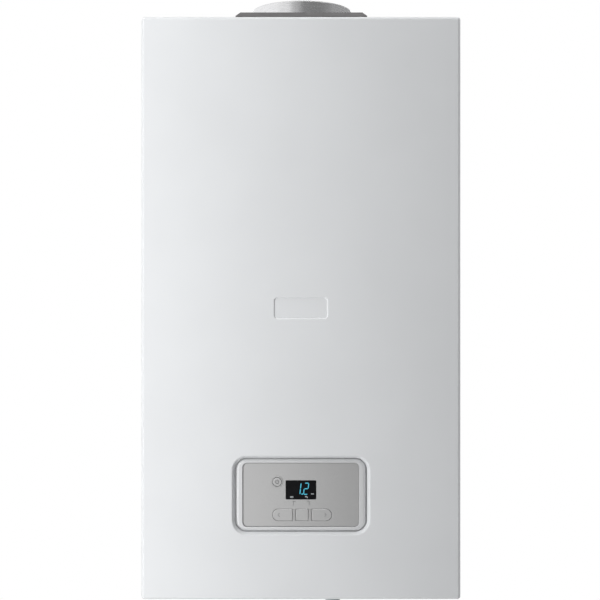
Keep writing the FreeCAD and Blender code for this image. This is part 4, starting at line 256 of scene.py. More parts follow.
# Places: where the CAD nodes and mounts are, in mm, with heights counted from the casing's floor


def in_mm(metres):
    return round(metres / MM, 2)


FLOOR_HEIGHT = in_mm(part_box("bottom_panel")[0].z)


def place(x, y, above_floor):
    return Vector((x, y, above_floor + FLOOR_HEIGHT))


class Box:
    """The sides and the middle of a node's box."""

    def __init__(self, node):
        low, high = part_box(node)
        self.left, self.right = in_mm(low.x), in_mm(high.x)
        self.front, self.back = in_mm(low.y), in_mm(high.y)
        self.low, self.high = in_mm(low.z) - FLOOR_HEIGHT, in_mm(high.z) - FLOOR_HEIGHT
        self.x, self.y = (self.left + self.right) / 2, (self.front + self.back) / 2
        self.height = (self.low + self.high) / 2


class Pipe:
    """The axis, radius and ends of an upright connection, from its mount in the record."""

    def __init__(self, mount):
        self.x, self.y, middle = (in_mm(value) for value in MOUNTS[mount]["pos_m"])
        sizes = MOUNTS[mount]["dims"]
        self.radius, half = sizes["r_mm"], sizes["length_mm"] / 2
        self.low, self.high = middle - FLOOR_HEIGHT - half, middle - FLOOR_HEIGHT + half


# Shapes: each adds to a mesh in mm, through a matrix that also turns them into metres

Plate = namedtuple("Plate", "width height depth radius edge")
Ring = namedtuple("Ring", "inner outer width")
Nut = namedtuple("Nut", "across height")


def aimed(at, facing=FRONT, spin=0.0):
    """Matrix at a place, with its Z along facing."""
    turn = facing.to_track_quat("Z", "Y").to_matrix().to_4x4()
    return Matrix.Translation(at * MM) @ turn @ Matrix.Rotation(spin, 4, "Z") @ Matrix.Scale(MM, 4)


def around(centre, radius, degrees):
    """A point round a centre on a front face, at an angle from the right."""
    turn = math.radians(degrees)
    return centre + RIGHT * (radius * math.cos(turn)) + UP * (radius * math.sin(turn))


def ring_of(bm, matrix, radius, height, sides):
    if radius == 0:
        return [bm.verts.new(matrix @ Vector((0, 0, height)))]
    return [bm.verts.new(matrix @ Vector((x, y, height))) for x, y in regular(radius, sides)]


def skin(bm, low, high):
    """Faces between two rings, either of which may be a single point."""
    count = max(len(low), len(high))
    for k in range(count):
        after = (k + 1) % count
        corners = [low[k % len(low)], low[after % len(low)], high[after % len(high)], high[k % len(high)]]
        corners = list(dict.fromkeys(corners))
        if len(corners) > 2:
            bm.faces.new(corners)


def capped(bm, rings):
    """A closed shape through rings, with a flat face on each end."""
    for low, high in zip(rings, rings[1:]):
        skin(bm, low, high)
    bm.faces.new(rings[0])
    bm.faces.new(rings[-1])


def lathe(bm, matrix, profile, sides=40, closed=False):
    """A turned shape, from a profile of radius and height. A closed one makes a ring."""
    rings = [ring_of(bm, matrix, radius, height, sides) for radius, height in profile]
    for low, high in zip(rings, rings[1:] + rings[:1] if closed else rings[1:]):
        skin(bm, low, high)


def rounded(width, height, radius, steps=4):
    """Outline of a rectangle with round corners, anticlockwise."""
    points = []
    for k, (side, rise) in enumerate(((1, 1), (-1, 1), (-1, -1), (1, -1))):
        for step in range(steps + 1):
            angle = math.pi / 2 * (k + step / steps)
            x = side * (width / 2 - radius) + radius * math.cos(angle)
            points.append((x, rise * (height / 2 - radius) + radius * math.sin(angle)))
    return points


def regular(radius, sides):
    turns = [2 * math.pi * k / sides for k in range(sides)]
    return [(radius * math.cos(a), radius * math.sin(a)) for a in turns]


def fluted(inner, outer, flutes):
    """Outline of a grip whose radius goes in and out."""
    points = regular(1, 2 * flutes)
    radii = (inner, outer) * flutes
    return [(radius * x, radius * y) for radius, (x, y) in zip(radii, points)]


def inset(outline, depth):
    """The outline moved inwards by depth."""
    moved = []
    for before, here, after in zip(outline[-1:] + outline[:-1], outline, outline[1:] + outline[:1]):
        one = (Vector(here) - Vector(before)).normalized()
        two = (Vector(after) - Vector(here)).normalized()
        normals = Vector((-one.y, one.x)), Vector((-two.y, two.x))
        shift = (normals[0] + normals[1]) / (1 + normals[0].dot(normals[1])) * depth
        moved.append((here[0] + shift.x, here[1] + shift.y))
    return moved


def prism(bm, matrix, outline, height, edge=0.0, low=0.0):
    """A plate with this outline, and its upper edge chamfered."""
    levels = [(outline, low), (outline, height - edge)]
    if edge:
        levels.append((inset(outline, edge), height))
    capped(bm, [[bm.verts.new(matrix @ Vector((x, y, z))) for x, y in shape] for shape, z in levels])


DOME_RADIUS_SHARE, DOME_RISE_SHARE = 0.55, 0.4


def bar(bm, points, radius, sides=14):
    """A round bar along points, with domed ends."""
    points = [Vector(point) for point in points]
    runs = [(b - a).normalized() for a, b in zip(points, points[1:])]
    headings = [runs[0]] + [(a + b).normalized() for a, b in zip(runs, runs[1:])] + [runs[-1]]
    rise, tip = radius * DOME_RISE_SHARE, radius * DOME_RADIUS_SHARE
    stations = [(points[0] - runs[0] * rise, runs[0], tip)]
    stations += [(point, heading, radius) for point, heading in zip(points, headings)]
    stations.append((points[-1] + runs[-1] * rise, runs[-1], tip))
    capped(bm, [ring_of(bm, aimed(at, heading), size, 0, sides) for at, heading, size in stations])


def added(name, data):
    """A new object in the scene with this mesh, lamp or camera."""
    made = bpy.data.objects.new(name, data)
    SCENE.collection.objects.link(made)
    return made


SHARP_ANGLE = math.radians(32)


def piece(slot, look=None, body="boiler"):
    """Makes an object of what a function draws, under the function's name, and fixes it to a body."""
    def make(shapes):
        bm = bmesh.new()
        shapes(bm)
        bmesh.ops.recalc_face_normals(bm, faces=bm.faces)
        mesh = bpy.data.meshes.new(shapes.__name__)
        bm.to_mesh(mesh)
        bm.free()
        mesh.shade_smooth()
        mesh.set_sharp_from_angle(angle=SHARP_ANGLE)
        made = added(shapes.__name__, mesh)
        mesh.materials.append((look or LOOKS[slot]).material)
        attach(made, body)
        return shapes
    return make


# Screw, in shares of its head's radius: the flange's and the dish's profiles, and the hexagon
SCREW_FLANGE_SHARES = ((0, 0), (1.55, 0), (1.55, 0.18), (0.9, 0.34), (0, 0.34))
SCREW_DISH_SHARES = ((0, 0.95), (0.62, 0.95), (0.5, 1.026), (0, 0.988))
SCREW_HEAD_SHARE, SCREW_EDGE_SHARE, SCREW_FOOT_SHARE = 0.95, 0.16, 0.3


def hex_screw(bm, at, radius, facing=FRONT):
    """Flanged hexagon screw with a dished head, turned by an angle that follows from its place."""
    matrix = aimed(at, facing, at.x + at.z) @ Matrix.Diagonal((radius, radius, radius, 1))
    lathe(bm, matrix, SCREW_FLANGE_SHARES, sides=28)
    prism(bm, matrix, regular(1, sides=6), SCREW_HEAD_SHARE, SCREW_EDGE_SHARE, SCREW_FOOT_SHARE)
    lathe(bm, matrix, SCREW_DISH_SHARES, sides=20)


def screw_circle(bm, centre, circle, first, count, radius):
    """Screws round a centre on a front face, evenly spaced from a first angle."""
    for k in range(count):
        hex_screw(bm, around(centre, circle, first + 360 / count * k), radius)


def slab(bm, at, plate, facing=FRONT, spin=0.0):
    """A plate with round corners that stands up from a surface."""
    outline = rounded(plate.width, plate.height, plate.radius)
    prism(bm, aimed(at, facing, spin), outline, plate.depth, plate.edge)


BAND_EDGE, BAND_EDGE_SHARE = 0.6, 1 / 3


def band(bm, at, ring, facing=FRONT, sides=48):
    """A ring with broken outer edges."""
    inner, outer, width = ring
    edge = min(BAND_EDGE, (outer - inner) * BAND_EDGE_SHARE)
    profile = [(inner, 0), (outer - edge, 0), (outer, edge)]
    profile += [(outer, width - edge), (outer - edge, width), (inner, width)]
    lathe(bm, aimed(at, facing), profile, sides, closed=True)


NUT_EDGE_SHARE, SHOULDER_INNER_SHARE = 0.08, 0.55
UPPER_SHOULDER_SHARE, LOWER_SHOULDER_SHARE = 0.8, 0.84
SHOULDER_WIDTH, SHOULDER_SINK = 1.8, 0.2
SHOULDER_RISE = SHOULDER_WIDTH - SHOULDER_SINK


def union_nut(bm, at, nut, facing=UP):
    """Hexagon nut round a pipe, with a round shoulder on each side."""
    across, height = nut
    prism(bm, aimed(at, facing, at.x), regular(across, sides=6), height, across * NUT_EDGE_SHARE)
    inner = SHOULDER_INNER_SHARE * across
    upper = Ring(inner, UPPER_SHOULDER_SHARE * across, SHOULDER_WIDTH)
    lower = Ring(inner, LOWER_SHOULDER_SHARE * across, SHOULDER_WIDTH)
    band(bm, at + facing * (height - SHOULDER_SINK), upper, facing)
    band(bm, at - facing * SHOULDER_RISE, lower, facing)


CLAMP_THICK, CLAMP_WIDE = 1.1, 9
CLAMP_HOUSE = Plate(14, 7.6, 4.4, 1.2, 0.8)
CLAMP_HOUSE_OUT, CLAMP_SCREW_OUT, CLAMP_SCREW_RADIUS = 0.4, 2.6, 1.7
CLAMP_SCREW_LEFT, CLAMP_SCREW_RIGHT, CLAMP_HEAD_START = 8, 10, 9
CLAMP_HEAD, CLAMP_HEAD_EDGE = Nut(3.4, 4.4), 0.5


def hose_clamp(bm, at, radius):
    """Worm-drive band round an upright hose, with its screw at the front."""
    band(bm, at, Ring(radius, radius + CLAMP_THICK, CLAMP_WIDE), UP)
    house = at + UP * (CLAMP_WIDE / 2) + FRONT * (radius + CLAMP_HOUSE_OUT)
    slab(bm, house, CLAMP_HOUSE)
    screw = house + FRONT * CLAMP_SCREW_OUT
    ends = [screw + LEFT * CLAMP_SCREW_LEFT, screw + RIGHT * CLAMP_SCREW_RIGHT]
    bar(bm, ends, CLAMP_SCREW_RADIUS, sides=12)
    head = aimed(screw + RIGHT * CLAMP_HEAD_START, RIGHT)
    prism(bm, head, regular(CLAMP_HEAD.across, sides=6), CLAMP_HEAD.height, CLAMP_HEAD_EDGE)


THREAD_DEPTH_SHARE = 0.34
THREAD_ROOT_SHARES, THREAD_CREST_SHARES = (0.1, 0.9), (0.42, 0.58)


def thread(bm, at, radius, length, pitch):
    """A run of thread ridges round an upright cylinder."""
    root = radius - pitch * THREAD_DEPTH_SHARE
    profile = [(root, 0)]
    for k in range(int(length / pitch)):
        foot, end = (pitch * (k + share) for share in THREAD_ROOT_SHARES)
        rise, fall = (pitch * (k + share) for share in THREAD_CREST_SHARES)
        profile += [(root, foot), (radius, rise), (radius, fall), (root, end)]
    lathe(bm, aimed(at, UP), profile + [(root, length)], sides=56)


# Display: two figures and a point, and three small signs, on the glass

SCREEN = Box("display_screen")
DIGIT_RISE, DIGIT_HEIGHT, DIGIT_WIDTH = 5.75, 15.2, 6.2
DIGIT_LOW = SCREEN.low + DIGIT_RISE
STROKE, DIGIT_GAP = 1.15, 0.15
LEAN_SHARE = 0.11
ONE_X, ONE_PATH = -7, ((1, 2), (1, 1), (1, 0))
TWO_X, TWO_PATH = 2.6, ((0, 2), (1, 2), (1, 1), (0, 1), (0, 0), (1, 0))
DOT_X, DOT_RADIUS = 1.5, 0.95
FIGURE_DEPTH, FIGURE_EDGE = 0.06, 0.02
FIGURE_STEPS = 3
# Strokes of the signs, whose rise is counted from the screen's lower edge
Mark = namedtuple("Mark", "x rise width height radius")
RADIATOR_X, FIN_PITCH = -11.6, 1.05
RADIATOR = [Mark(RADIATOR_X + FIN_PITCH * step, 2.85, 0.6, 2.3, 0.25) for step in (-1.5, -0.5, 0.5, 1.5)]
RADIATOR.append(Mark(RADIATOR_X, 3.25, 4.0, 0.45, 0.2))
TAP = [Mark(6.6, 3.15, 3.2, 0.9, 0.4), Mark(8, 2.25, 0.8, 1.5, 0.35), Mark(6.3, 4.05, 1.6, 0.5, 0.2)]
UNIT_X, UNIT_PITCH = 13.1, 1.35
UNIT = [Mark(UNIT_X + UNIT_PITCH * k, 6.85, 0.9, 1.5, 0.4) for k in range(3)]


def flat_shape(bm, outline, x, height, front=SCREEN.front):
    """A thin figure on the glass or on the fascia."""
    prism(bm, aimed(place(x, front, height)), outline, FIGURE_DEPTH, FIGURE_EDGE, -FIGURE_DEPTH)


def segment(bm, x, start, end):
    """One lit stroke between two points of the digit's grid, with pointed ends."""
    start, end = Vector(start), Vector(end)
    along = (end - start).normalized()
    aside = Vector((-along.y, along.x)) * (STROKE / 2)
    start, end = start + along * DIGIT_GAP, end - along * DIGIT_GAP
    inner = along * (STROKE / 2)
    lower = [start + inner - aside, end - inner - aside]
    upper = [end - inner + aside, start + inner + aside]
    corners = [start, *lower, end, *upper]
    flat_shape(bm, [(corner.x + LEAN_SHARE * corner.y, corner.y) for corner in corners], x, DIGIT_LOW)


def digit(bm, x, path):
    """A digit along points of its grid, which has two columns and three rows."""
    columns = STROKE / 2, DIGIT_WIDTH - STROKE / 2
    rows = STROKE / 2, DIGIT_HEIGHT / 2, DIGIT_HEIGHT - STROKE / 2
    points = [(columns[column], rows[row]) for column, row in path]
    for start, end in zip(points, points[1:]):
        segment(bm, x, start, end)


@piece("screen_black", LIT_CYAN)
def display_reading(bm):
    digit(bm, ONE_X, ONE_PATH)
    digit(bm, TWO_X, TWO_PATH)
    flat_shape(bm, regular(DOT_RADIUS, sides=10), DOT_X, DIGIT_LOW + DOT_RADIUS)


@piece("screen_black", LIT_GREY)
def display_signs(bm):
    """A small radiator and a small tap under the figures, and a mark for the unit beside them."""
    for mark in RADIATOR + TAP + UNIT:
        outline = rounded(mark.width, mark.height, mark.radius, FIGURE_STEPS)
        flat_shape(bm, outline, mark.x, SCREEN.low + mark.rise)


# Fascia: printed guide lines under the display, raised edges round the keys, and the signs on the keys

FASCIA, RESET = Box("control_fascia"), Box("reset_button")
LEFT_KEY, CENTRE_KEY, RIGHT_KEY = Box("left_button"), Box("centre_button"), Box("right_button")
LINE_WIDTH, LINE_ROUND, LINE_STEPS = 0.55, 0.2, 2
GUIDES = ((-9.6, RIGHT.x), (10.4, LEFT.x))
GUIDE_LENGTH, GUIDE_DROP = 5.6, 5.05
TURN_LENGTH, TURN_DROP, TURN_ASIDE = 3, 2.35, 1.4
KEY_FLANGE, KEY_CORNER, KEY_GAP = 1.2, 1, 0.3
KEY_TALL = CENTRE_KEY.high - CENTRE_KEY.low - 2 * KEY_FLANGE
# Keys, and what their rounding takes from their straight sides on the left and on the right
KEY_ENDS = (
    (LEFT_KEY, KEY_TALL / 2, KEY_CORNER),
    (CENTRE_KEY, KEY_CORNER, KEY_CORNER),
    (RIGHT_KEY, KEY_CORNER, KEY_TALL / 2),
)
STRIP_WIDTH, STRIP_ROUND = 0.26, 0.1
RIDGE_WIDTH, RIDGE_TOP, RIDGE_TALL = 2.8, 1.8, 13.2
RIDGE_RISE, RIDGE_SINK = 0.7, 0.1
RESET_RING = Ring(6.1, 7.4, 0.6)
RESET_RADIUS, RESET_START, RESET_END, RESET_STEPS = 2.1, 125, 415, 22
RESET_STROKE, RESET_STROKE_LOW, RESET_STROKE_HIGH = 0.36, 0.6, 2.8
ARROW_OUT, ARROW_SIZE, ARROW_STROKE = 30.5, 2, 0.32
SIGN_SIDES = 8


@piece("fascia_silver", INK)
def fascia_lines(bm):
    """Two upright lines, each with a turn towards the other at its top."""
    upright = rounded(LINE_WIDTH, GUIDE_LENGTH, LINE_ROUND, LINE_STEPS)
    turn = rounded(TURN_LENGTH, LINE_WIDTH, LINE_ROUND, LINE_STEPS)
    for x, side in GUIDES:
        flat_shape(bm, upright, x, SCREEN.low - GUIDE_DROP, FASCIA.front)
        flat_shape(bm, turn, x + side * TURN_ASIDE, SCREEN.low - TURN_DROP, FASCIA.front)


@piece("fascia_silver")
def key_ridges(bm):
    """Raised edges on the fascia: round the reset button, between the three keys and along their sides."""
    band(bm, place(RESET.x, FASCIA.front, RESET.height), RESET_RING)
    foot, top = RIDGE_WIDTH / 2, RIDGE_TOP / 2
    section = [(foot, -RIDGE_SINK), (top, RIDGE_RISE), (-top, RIDGE_RISE), (-foot, -RIDGE_SINK)]
    for left, right in ((LEFT_KEY, CENTRE_KEY), (CENTRE_KEY, RIGHT_KEY)):
        low = place((left.right + right.left) / 2, FASCIA.front, CENTRE_KEY.height - RIDGE_TALL / 2)
        prism(bm, aimed(low, UP), section, RIDGE_TALL)
    reach = (KEY_TALL + KEY_GAP) / 2
    for key, before, after in KEY_ENDS:
        start, end = key.left + KEY_FLANGE + before, key.right - KEY_FLANGE - after
        strip = rounded(end - start, STRIP_WIDTH, STRIP_ROUND, LINE_STEPS)
        for rise in (-reach, reach):
            flat_shape(bm, strip, (start + end) / 2, CENTRE_KEY.height + rise, FASCIA.front)


@piece("button_silver", INK, body="reset_key")
def reset_sign(bm):
    """A ring with a gap and a short stroke up through it."""
    centre = place(RESET.x, RESET.front, RESET.height)
    step = (RESET_END - RESET_START) / RESET_STEPS
    ring = [around(centre, RESET_RADIUS, RESET_START + step * k) for k in range(RESET_STEPS + 1)]
    bar(bm, ring, RESET_STROKE, SIGN_SIDES)
    bar(bm, [centre + UP * RESET_STROKE_LOW, centre + UP * RESET_STROKE_HIGH], RESET_STROKE, SIGN_SIDES)


def arrow_head(bm, outward):
    tip = place(CENTRE_KEY.x, RESET.front, CENTRE_KEY.height) + outward * ARROW_OUT
    tail = tip - outward * ARROW_SIZE
    bar(bm, [tail + UP * ARROW_SIZE, tip, tail + DOWN * ARROW_SIZE], ARROW_STROKE, SIGN_SIDES)


@piece("button_silver", INK, body="left_key")
def left_key_sign(bm):
    arrow_head(bm, LEFT)


@piece("button_silver", INK, body="right_key")
def right_key_sign(bm):
    arrow_head(bm, RIGHT)


# Roof: screws along the edges, the flue base's test caps and the collar's rolled rim

ROOF, FLUE_BASE, COLLAR = Box("top_panel"), Box("flue_base"), Pipe("air_pipe")
ROOF_SCREW, ROOF_SCREW_X, ROOF_SCREW_ROWS, BACK_ROW_X = 3.6, 180, (-222, -120, -18), (-100, 0, 100)
TEST_CAP_X, TEST_CAP_BACK = 27, 76
TEST_CAP = ((0, 0), (9.2, 0), (9.2, 1.2), (8.2, 1.8), (7.6, 1.8), (7.6, 1), (0, 1))
SLOT_SIDE_X, SLOT_SIDE = 3.4, rounded(width=4.4, height=9, radius=1.4, steps=3)
RIM_BEAD, RIM_INSET = 0.75, 0.6


@piece("zinc_sheet")
def roof_screws(bm):
    for x in (-ROOF_SCREW_X, ROOF_SCREW_X):
        for y in ROOF_SCREW_ROWS:
            hex_screw(bm, place(x, y, ROOF.high), ROOF_SCREW, UP)
    for x in BACK_ROW_X:
        hex_screw(bm, place(x, ROOF_SCREW_ROWS[-1], ROOF.high), ROOF_SCREW, UP)


@piece("flue_grey")
def flue_test_caps(bm):
    """Screwed caps over the flue's two test points, with grip flutes and a coin slot."""
    for x in (-TEST_CAP_X, TEST_CAP_X):
        matrix = aimed(place(x, COLLAR.y + TEST_CAP_BACK, FLUE_BASE.high), UP)
        lathe(bm, matrix, TEST_CAP, sides=36)
        prism(bm, matrix, fluted(inner=7.3, outer=8.0, flutes=16), height=6.0, edge=0.6, low=1.6)
        for aside in (-SLOT_SIDE_X, SLOT_SIDE_X):
            side = [(aside + x, y) for x, y in SLOT_SIDE]
            prism(bm, matrix, side, height=7.0, edge=0.4, low=5.8)


@piece("collar_alloy")
def collar_rim(bm):
    middle = COLLAR.radius - RIM_INSET, COLLAR.high - RIM_BEAD
    bead = [(middle[0] + x, middle[1] + z) for x, z in regular(RIM_BEAD, sides=10)]
    lathe(bm, aimed(place(COLLAR.x, COLLAR.y, 0), UP), bead, sides=96, closed=True)


# Underside: thread ridges on the connections, two screws with washers, and grommets in the floor

FLOW_TAP, RETURN_TAP, GAS_TAP = Pipe("heating_flow"), Pipe("heating_return"), Pipe("gas_inlet")
HOT_TAP, COLD_TAP = Pipe("hot_water"), Pipe("cold_water")
TRAP, RELIEF = Pipe("condensate_outlet"), Pipe("relief_discharge")
THREAD_START, THREAD_RISE, THREAD_LENGTH, THREAD_PITCH = 1, 0.3, 16.6, 1.8
FLOOR_SCREW, FLOOR_SCREW_X, FLOOR_SCREW_Y = 4.2, 120, -226
WASHER = ((6.4, 0), (9, 0), (9, 0.8), (6.4, 0.8))
# Radii of the grommet's profile are counted from its pipe's surface
GROMMET_BELOW = ((0.15, -3), (3.4, -3), (4.6, -2.2), (4.6, -0.05), (1.4, -0.05))
GROMMET_ABOVE = ((1.4, 1.05), (4, 1.05), (4, 2.6), (0.15, 3.4))


def tap_threads(bm, *taps):
    for tap in taps:
        low = place(tap.x, tap.y, tap.low + THREAD_START)
        thread(bm, low, tap.radius + THREAD_RISE, THREAD_LENGTH, THREAD_PITCH)


@piece("brass")
def heating_threads(bm):
    tap_threads(bm, FLOW_TAP, RETURN_TAP)


@piece("gas_steel")
def gas_thread(bm):
    tap_threads(bm, GAS_TAP)


@piece("copper", LOOKS["brass"])
def water_threads(bm):
    tap_threads(bm, HOT_TAP, COLD_TAP)


@piece("zinc_sheet")
def floor_screws(bm):
    for x in (-FLOOR_SCREW_X, FLOOR_SCREW_X):
        at = place(x, FLOOR_SCREW_Y, 0)
        hex_screw(bm, at, FLOOR_SCREW, DOWN)
        lathe(bm, aimed(at, DOWN), WASHER, sides=32, closed=True)


@piece("seal_rubber")
def floor_grommets(bm):
    for pipe in (TRAP, RELIEF):
        profile = [(pipe.radius + beyond, height) for beyond, height in GROMMET_BELOW + GROMMET_ABOVE]
        lathe(bm, aimed(place(pipe.x, pipe.y, 0), UP), profile, sides=44, closed=True)


# Heat cell: ribs, sight glass and washers on the burner door, and boots on the electrodes

DOOR, ELECTRODES = Box("burner_door"), Box("electrodes")
DISH_DEPTH, NUT_CIRCLE, NUT_ANGLES = 4, 108, range(90, 450, 60)
DOOR_FACE = place(0, DOOR.front, DOOR.height)
DISH_FACE = DOOR_FACE + BACK * DISH_DEPTH
RIB_START, RIB_END, RIB_ANGLES = 34, 99, (112, 70, 30, -10, -50, 232)
DOOR_RIB = Plate(RIB_END - RIB_START, 4.6, 3.4, 1, 0.9)
HUB = ((28, 0), (36, 0), (35, 2.6), (33.4, 3.6), (30.6, 3.6), (29, 2.6))
BOSS, BOSS_PLACES = Ring(0, 6.4, 2.2), ((66, 50), (74, 8), (74, 250))
SIGHT = around(DISH_FACE, radius=66, degrees=-30)
SIGHT_RING = ((8.2, 0), (15, 0), (15, 2.4), (14, 3.4), (9.4, 3.4), (8.2, 2.4))
GLASS = ((8.6, 0), (8.6, 1.2), (6, 1.9), (3, 2.2), (0, 2.3))
EAR_OUT, EAR = 17, Plate(13, 11, 2.4, 4, 0.5)
EAR_SCREW, EAR_SCREW_OUT = 2.3, 1.5
DOOR_WASHER = Ring(3.4, 9, 1.1)
BOOT_X, BOOT_SINK = 13, 8
BOOT_RIBS = ((5.1, 0), (7, 0.3), (7, 2.2), (6.2, 2.8), (6.2, 4.2), (7, 4.8), (7, 6.4), (6.2, 7))
BOOT_TIP = ((6.2, 10.5), (5, 12.4), (2.6, 13.4), (0, 13.6))
LEAD_RADIUS, LEAD_START, LEAD_OUT, LEAD_DROPS = 3.4, 8.2, 8.6, (9, 13)


@piece("cast_alloy")
def door_ribs(bm):
    for degrees in RIB_ANGLES:
        middle = around(DISH_FACE, (RIB_START + RIB_END) / 2, degrees)
        slab(bm, middle, DOOR_RIB, FRONT, math.radians(degrees))
    lathe(bm, aimed(DISH_FACE), HUB, sides=72, closed=True)
    for radius, degrees in BOSS_PLACES:
        band(bm, around(DISH_FACE, radius, degrees), BOSS, sides=32)


@piece("stainless")
def sight_frame(bm):
    lathe(bm, aimed(SIGHT), SIGHT_RING, sides=48, closed=True)
    for outward in (LEFT, RIGHT):
        ear = SIGHT + outward * EAR_OUT
        slab(bm, ear, EAR)
        hex_screw(bm, ear + outward * EAR_SCREW_OUT + FRONT * EAR.depth, EAR_SCREW)


@piece("screen_black")
def sight_glass(bm):
    lathe(bm, aimed(SIGHT), GLASS)


@piece("zinc_sheet")
def door_washers(bm):
    for degrees in NUT_ANGLES:
        band(bm, around(DOOR_FACE, NUT_CIRCLE, degrees), DOOR_WASHER, sides=36)


@piece("seal_rubber")
def electrode_boots(bm):
    """Ribbed boots over the two electrodes, each with a stub down where its lead would leave."""
    for x in (-BOOT_X, BOOT_X):
        foot = place(x, ELECTRODES.front + BOOT_SINK, ELECTRODES.height)
        lathe(bm, aimed(foot), BOOT_RIBS + BOOT_TIP, sides=30)
        lead = [foot + FRONT * LEAD_START] + [foot + FRONT * LEAD_OUT + DOWN * drop for drop in LEAD_DROPS]
        bar(bm, lead, LEAD_RADIUS, sides=18)


# Fan, mixer and air silencer

FAN, HOUSING, DUCT = Box("fan_motor"), Box("fan_housing"), Box("mixture_duct")
MIXER, SILENCER = Box("venturi"), Box("air_silencer")
FAN_FACE = place(FAN.x, HOUSING.front, FAN.height)
MIXER_FACE = place(FAN.x, MIXER.front, FAN.height)
SEAM_BACK, SEAM = 29, Ring(65.5, 69, 6)
FAN_BEAD = ((58, 0), (64.5, 0), (63.8, 1.5), (61.2, 2.1), (58.8, 1.5))
SPOKE_CIRCLE, SPOKE_ANGLES, SPOKE = 47, range(15, 375, 30), Plate(21, 3, 2, 1.2, 0.6)
FAN_SCREW, FAN_SCREW_CIRCLE, FAN_SCREW_OUT = 3, 61, 2
DUCT_SCREW, DUCT_SCREW_X, DUCT_SCREW_BACK, DUCT_SCREW_DROP = 2.8, 19.5, 6, 3.98
MIXER_SCREW, MIXER_SCREW_CIRCLE = 3, 27.5
MIXER_BOSS = ((0, 0), (18, 0), (18, 1.6), (17, 2.6), (12.4, 2.6), (11.4, 3.6), (0, 3.6))
MIXER_BEAD = ((31.5, -0.5), (34.4, -0.5), (34.4, 0.6), (33.6, 1.2), (32, 1.2))
AIR_PORT, AIR_PORT_INSET = Ring(13, 15.6, 4.2), 4.6
GAS_PORT, GAS_PORT_INSET = Ring(9, 11.4, 4), 1
SILENCER_HALF, SILENCER_PITCH, SILENCER_TAPER = 70, 13, 6
SILENCER_RIB = Plate(112, 3.2, 1.3, 1.5, 0.6)
STRAP, STRAP_PLACES = Plate(10, 30, 2.2, 2, 0.8), (-16, 94)
SPIGOT, SPIGOT_X = Ring(11, 15.5, 3.5), -32.5


@piece("cast_alloy")
def fan_trim(bm):
    """Split flange round the fan's drum, and a bead and ribs on its front."""
    band(bm, FAN_FACE + BACK * SEAM_BACK, SEAM, sides=96)
    lathe(bm, aimed(FAN_FACE), FAN_BEAD, sides=96, closed=True)
    for degrees in SPOKE_ANGLES:
        slab(bm, around(FAN_FACE, SPOKE_CIRCLE, degrees), SPOKE, FRONT, math.radians(degrees))


@piece("zinc_sheet")
def fan_screws(bm):
    """Screws on the fan's front, under the duct's flange and on the mixer's front."""
    rim = FAN_FACE + FRONT * FAN_SCREW_OUT
    screw_circle(bm, rim, FAN_SCREW_CIRCLE, first=30, count=6, radius=FAN_SCREW)
    for aside in (-DUCT_SCREW_X, DUCT_SCREW_X):
        at = place(DUCT.x + aside, HOUSING.front + DUCT_SCREW_BACK, DUCT.high - DUCT_SCREW_DROP)
        hex_screw(bm, at, DUCT_SCREW, DOWN)
    screw_circle(bm, MIXER_FACE, MIXER_SCREW_CIRCLE, first=90, count=3, radius=MIXER_SCREW)


@piece("cast_alloy")
def mixer_trim(bm):
    """Stepped boss and ring on the mixer's front, and collars on its two ports."""
    lathe(bm, aimed(MIXER_FACE), MIXER_BOSS, sides=48)
    lathe(bm, aimed(MIXER_FACE), MIXER_BEAD, sides=72, closed=True)
    band(bm, place(MIXER.right - AIR_PORT_INSET, MIXER.y, FAN.height), AIR_PORT, RIGHT)
    band(bm, place(FAN.x, MIXER.y, MIXER.low + GAS_PORT_INSET), GAS_PORT, UP)


@piece("moulded_black")
def silencer_ribs(bm):
    """Ribs on the silencer's front, two straps over its top and a collar on its spigot."""
    middle = place(SILENCER.right - SILENCER_HALF, SILENCER.front, SILENCER.height)
    for step in (-2, -1, 0, 1, 2):
        rib = SILENCER_RIB._replace(width=SILENCER_RIB.width - SILENCER_TAPER * abs(step))
        slab(bm, middle + UP * (SILENCER_PITCH * step), rib)
    for x in STRAP_PLACES:
        slab(bm, place(x, SILENCER.y, SILENCER.high), STRAP, UP)
    band(bm, place(SPIGOT_X, SILENCER.y, SILENCER.height), SPIGOT, LEFT)


# Gas valve and the unions of the gas pipes

VALVE = Box("gas_valve")
COIL_LENGTH, COIL_RISE = 21, 20
VALVE_FACE = VALVE.front + COIL_LENGTH
VALVE_Y = (VALVE_FACE + VALVE.back) / 2
COIL_HEIGHTS = (VALVE.height - COIL_RISE, VALVE.height + COIL_RISE)
COIL_CAP = ((0, 0), (15.2, 0), (15.2, 1.2), (14, 2), (8.4, 2), (7.8, 1.2), (0, 1.2))
COIL_FOOT, COIL_FOOT_OUT = Ring(16.5, 18.6, 3.4), 3
SOCKET_X, SOCKET = 19, Plate(15, 22, 13, 1.6, 0.8)
SOCKET_LID = Plate(11, 17, 2.2, 1, 0.5)
COIL_NUT, COIL_NUT_EDGE, COIL_NUT_OUT = Nut(5.6, 4.2), 0.5, 1
NIPPLE_X, NIPPLE_RISE = -22, 9
NIPPLE = ((0, 0), (4.6, 0), (4.6, 2.4), (3.1, 3), (3.1, 8.4), (2.5, 9.2), (0, 9.2))
VALVE_SCREW, VALVE_SCREW_X, VALVE_SCREW_INSET = 2.7, 24.5, 6.5
SUPPLY_NUT, FEED_NUT = Nut(14.6, 12), Nut(11.6, 9)
PORT_NUT, PORT_NUT_DROP = Nut(11.2, 8), 2


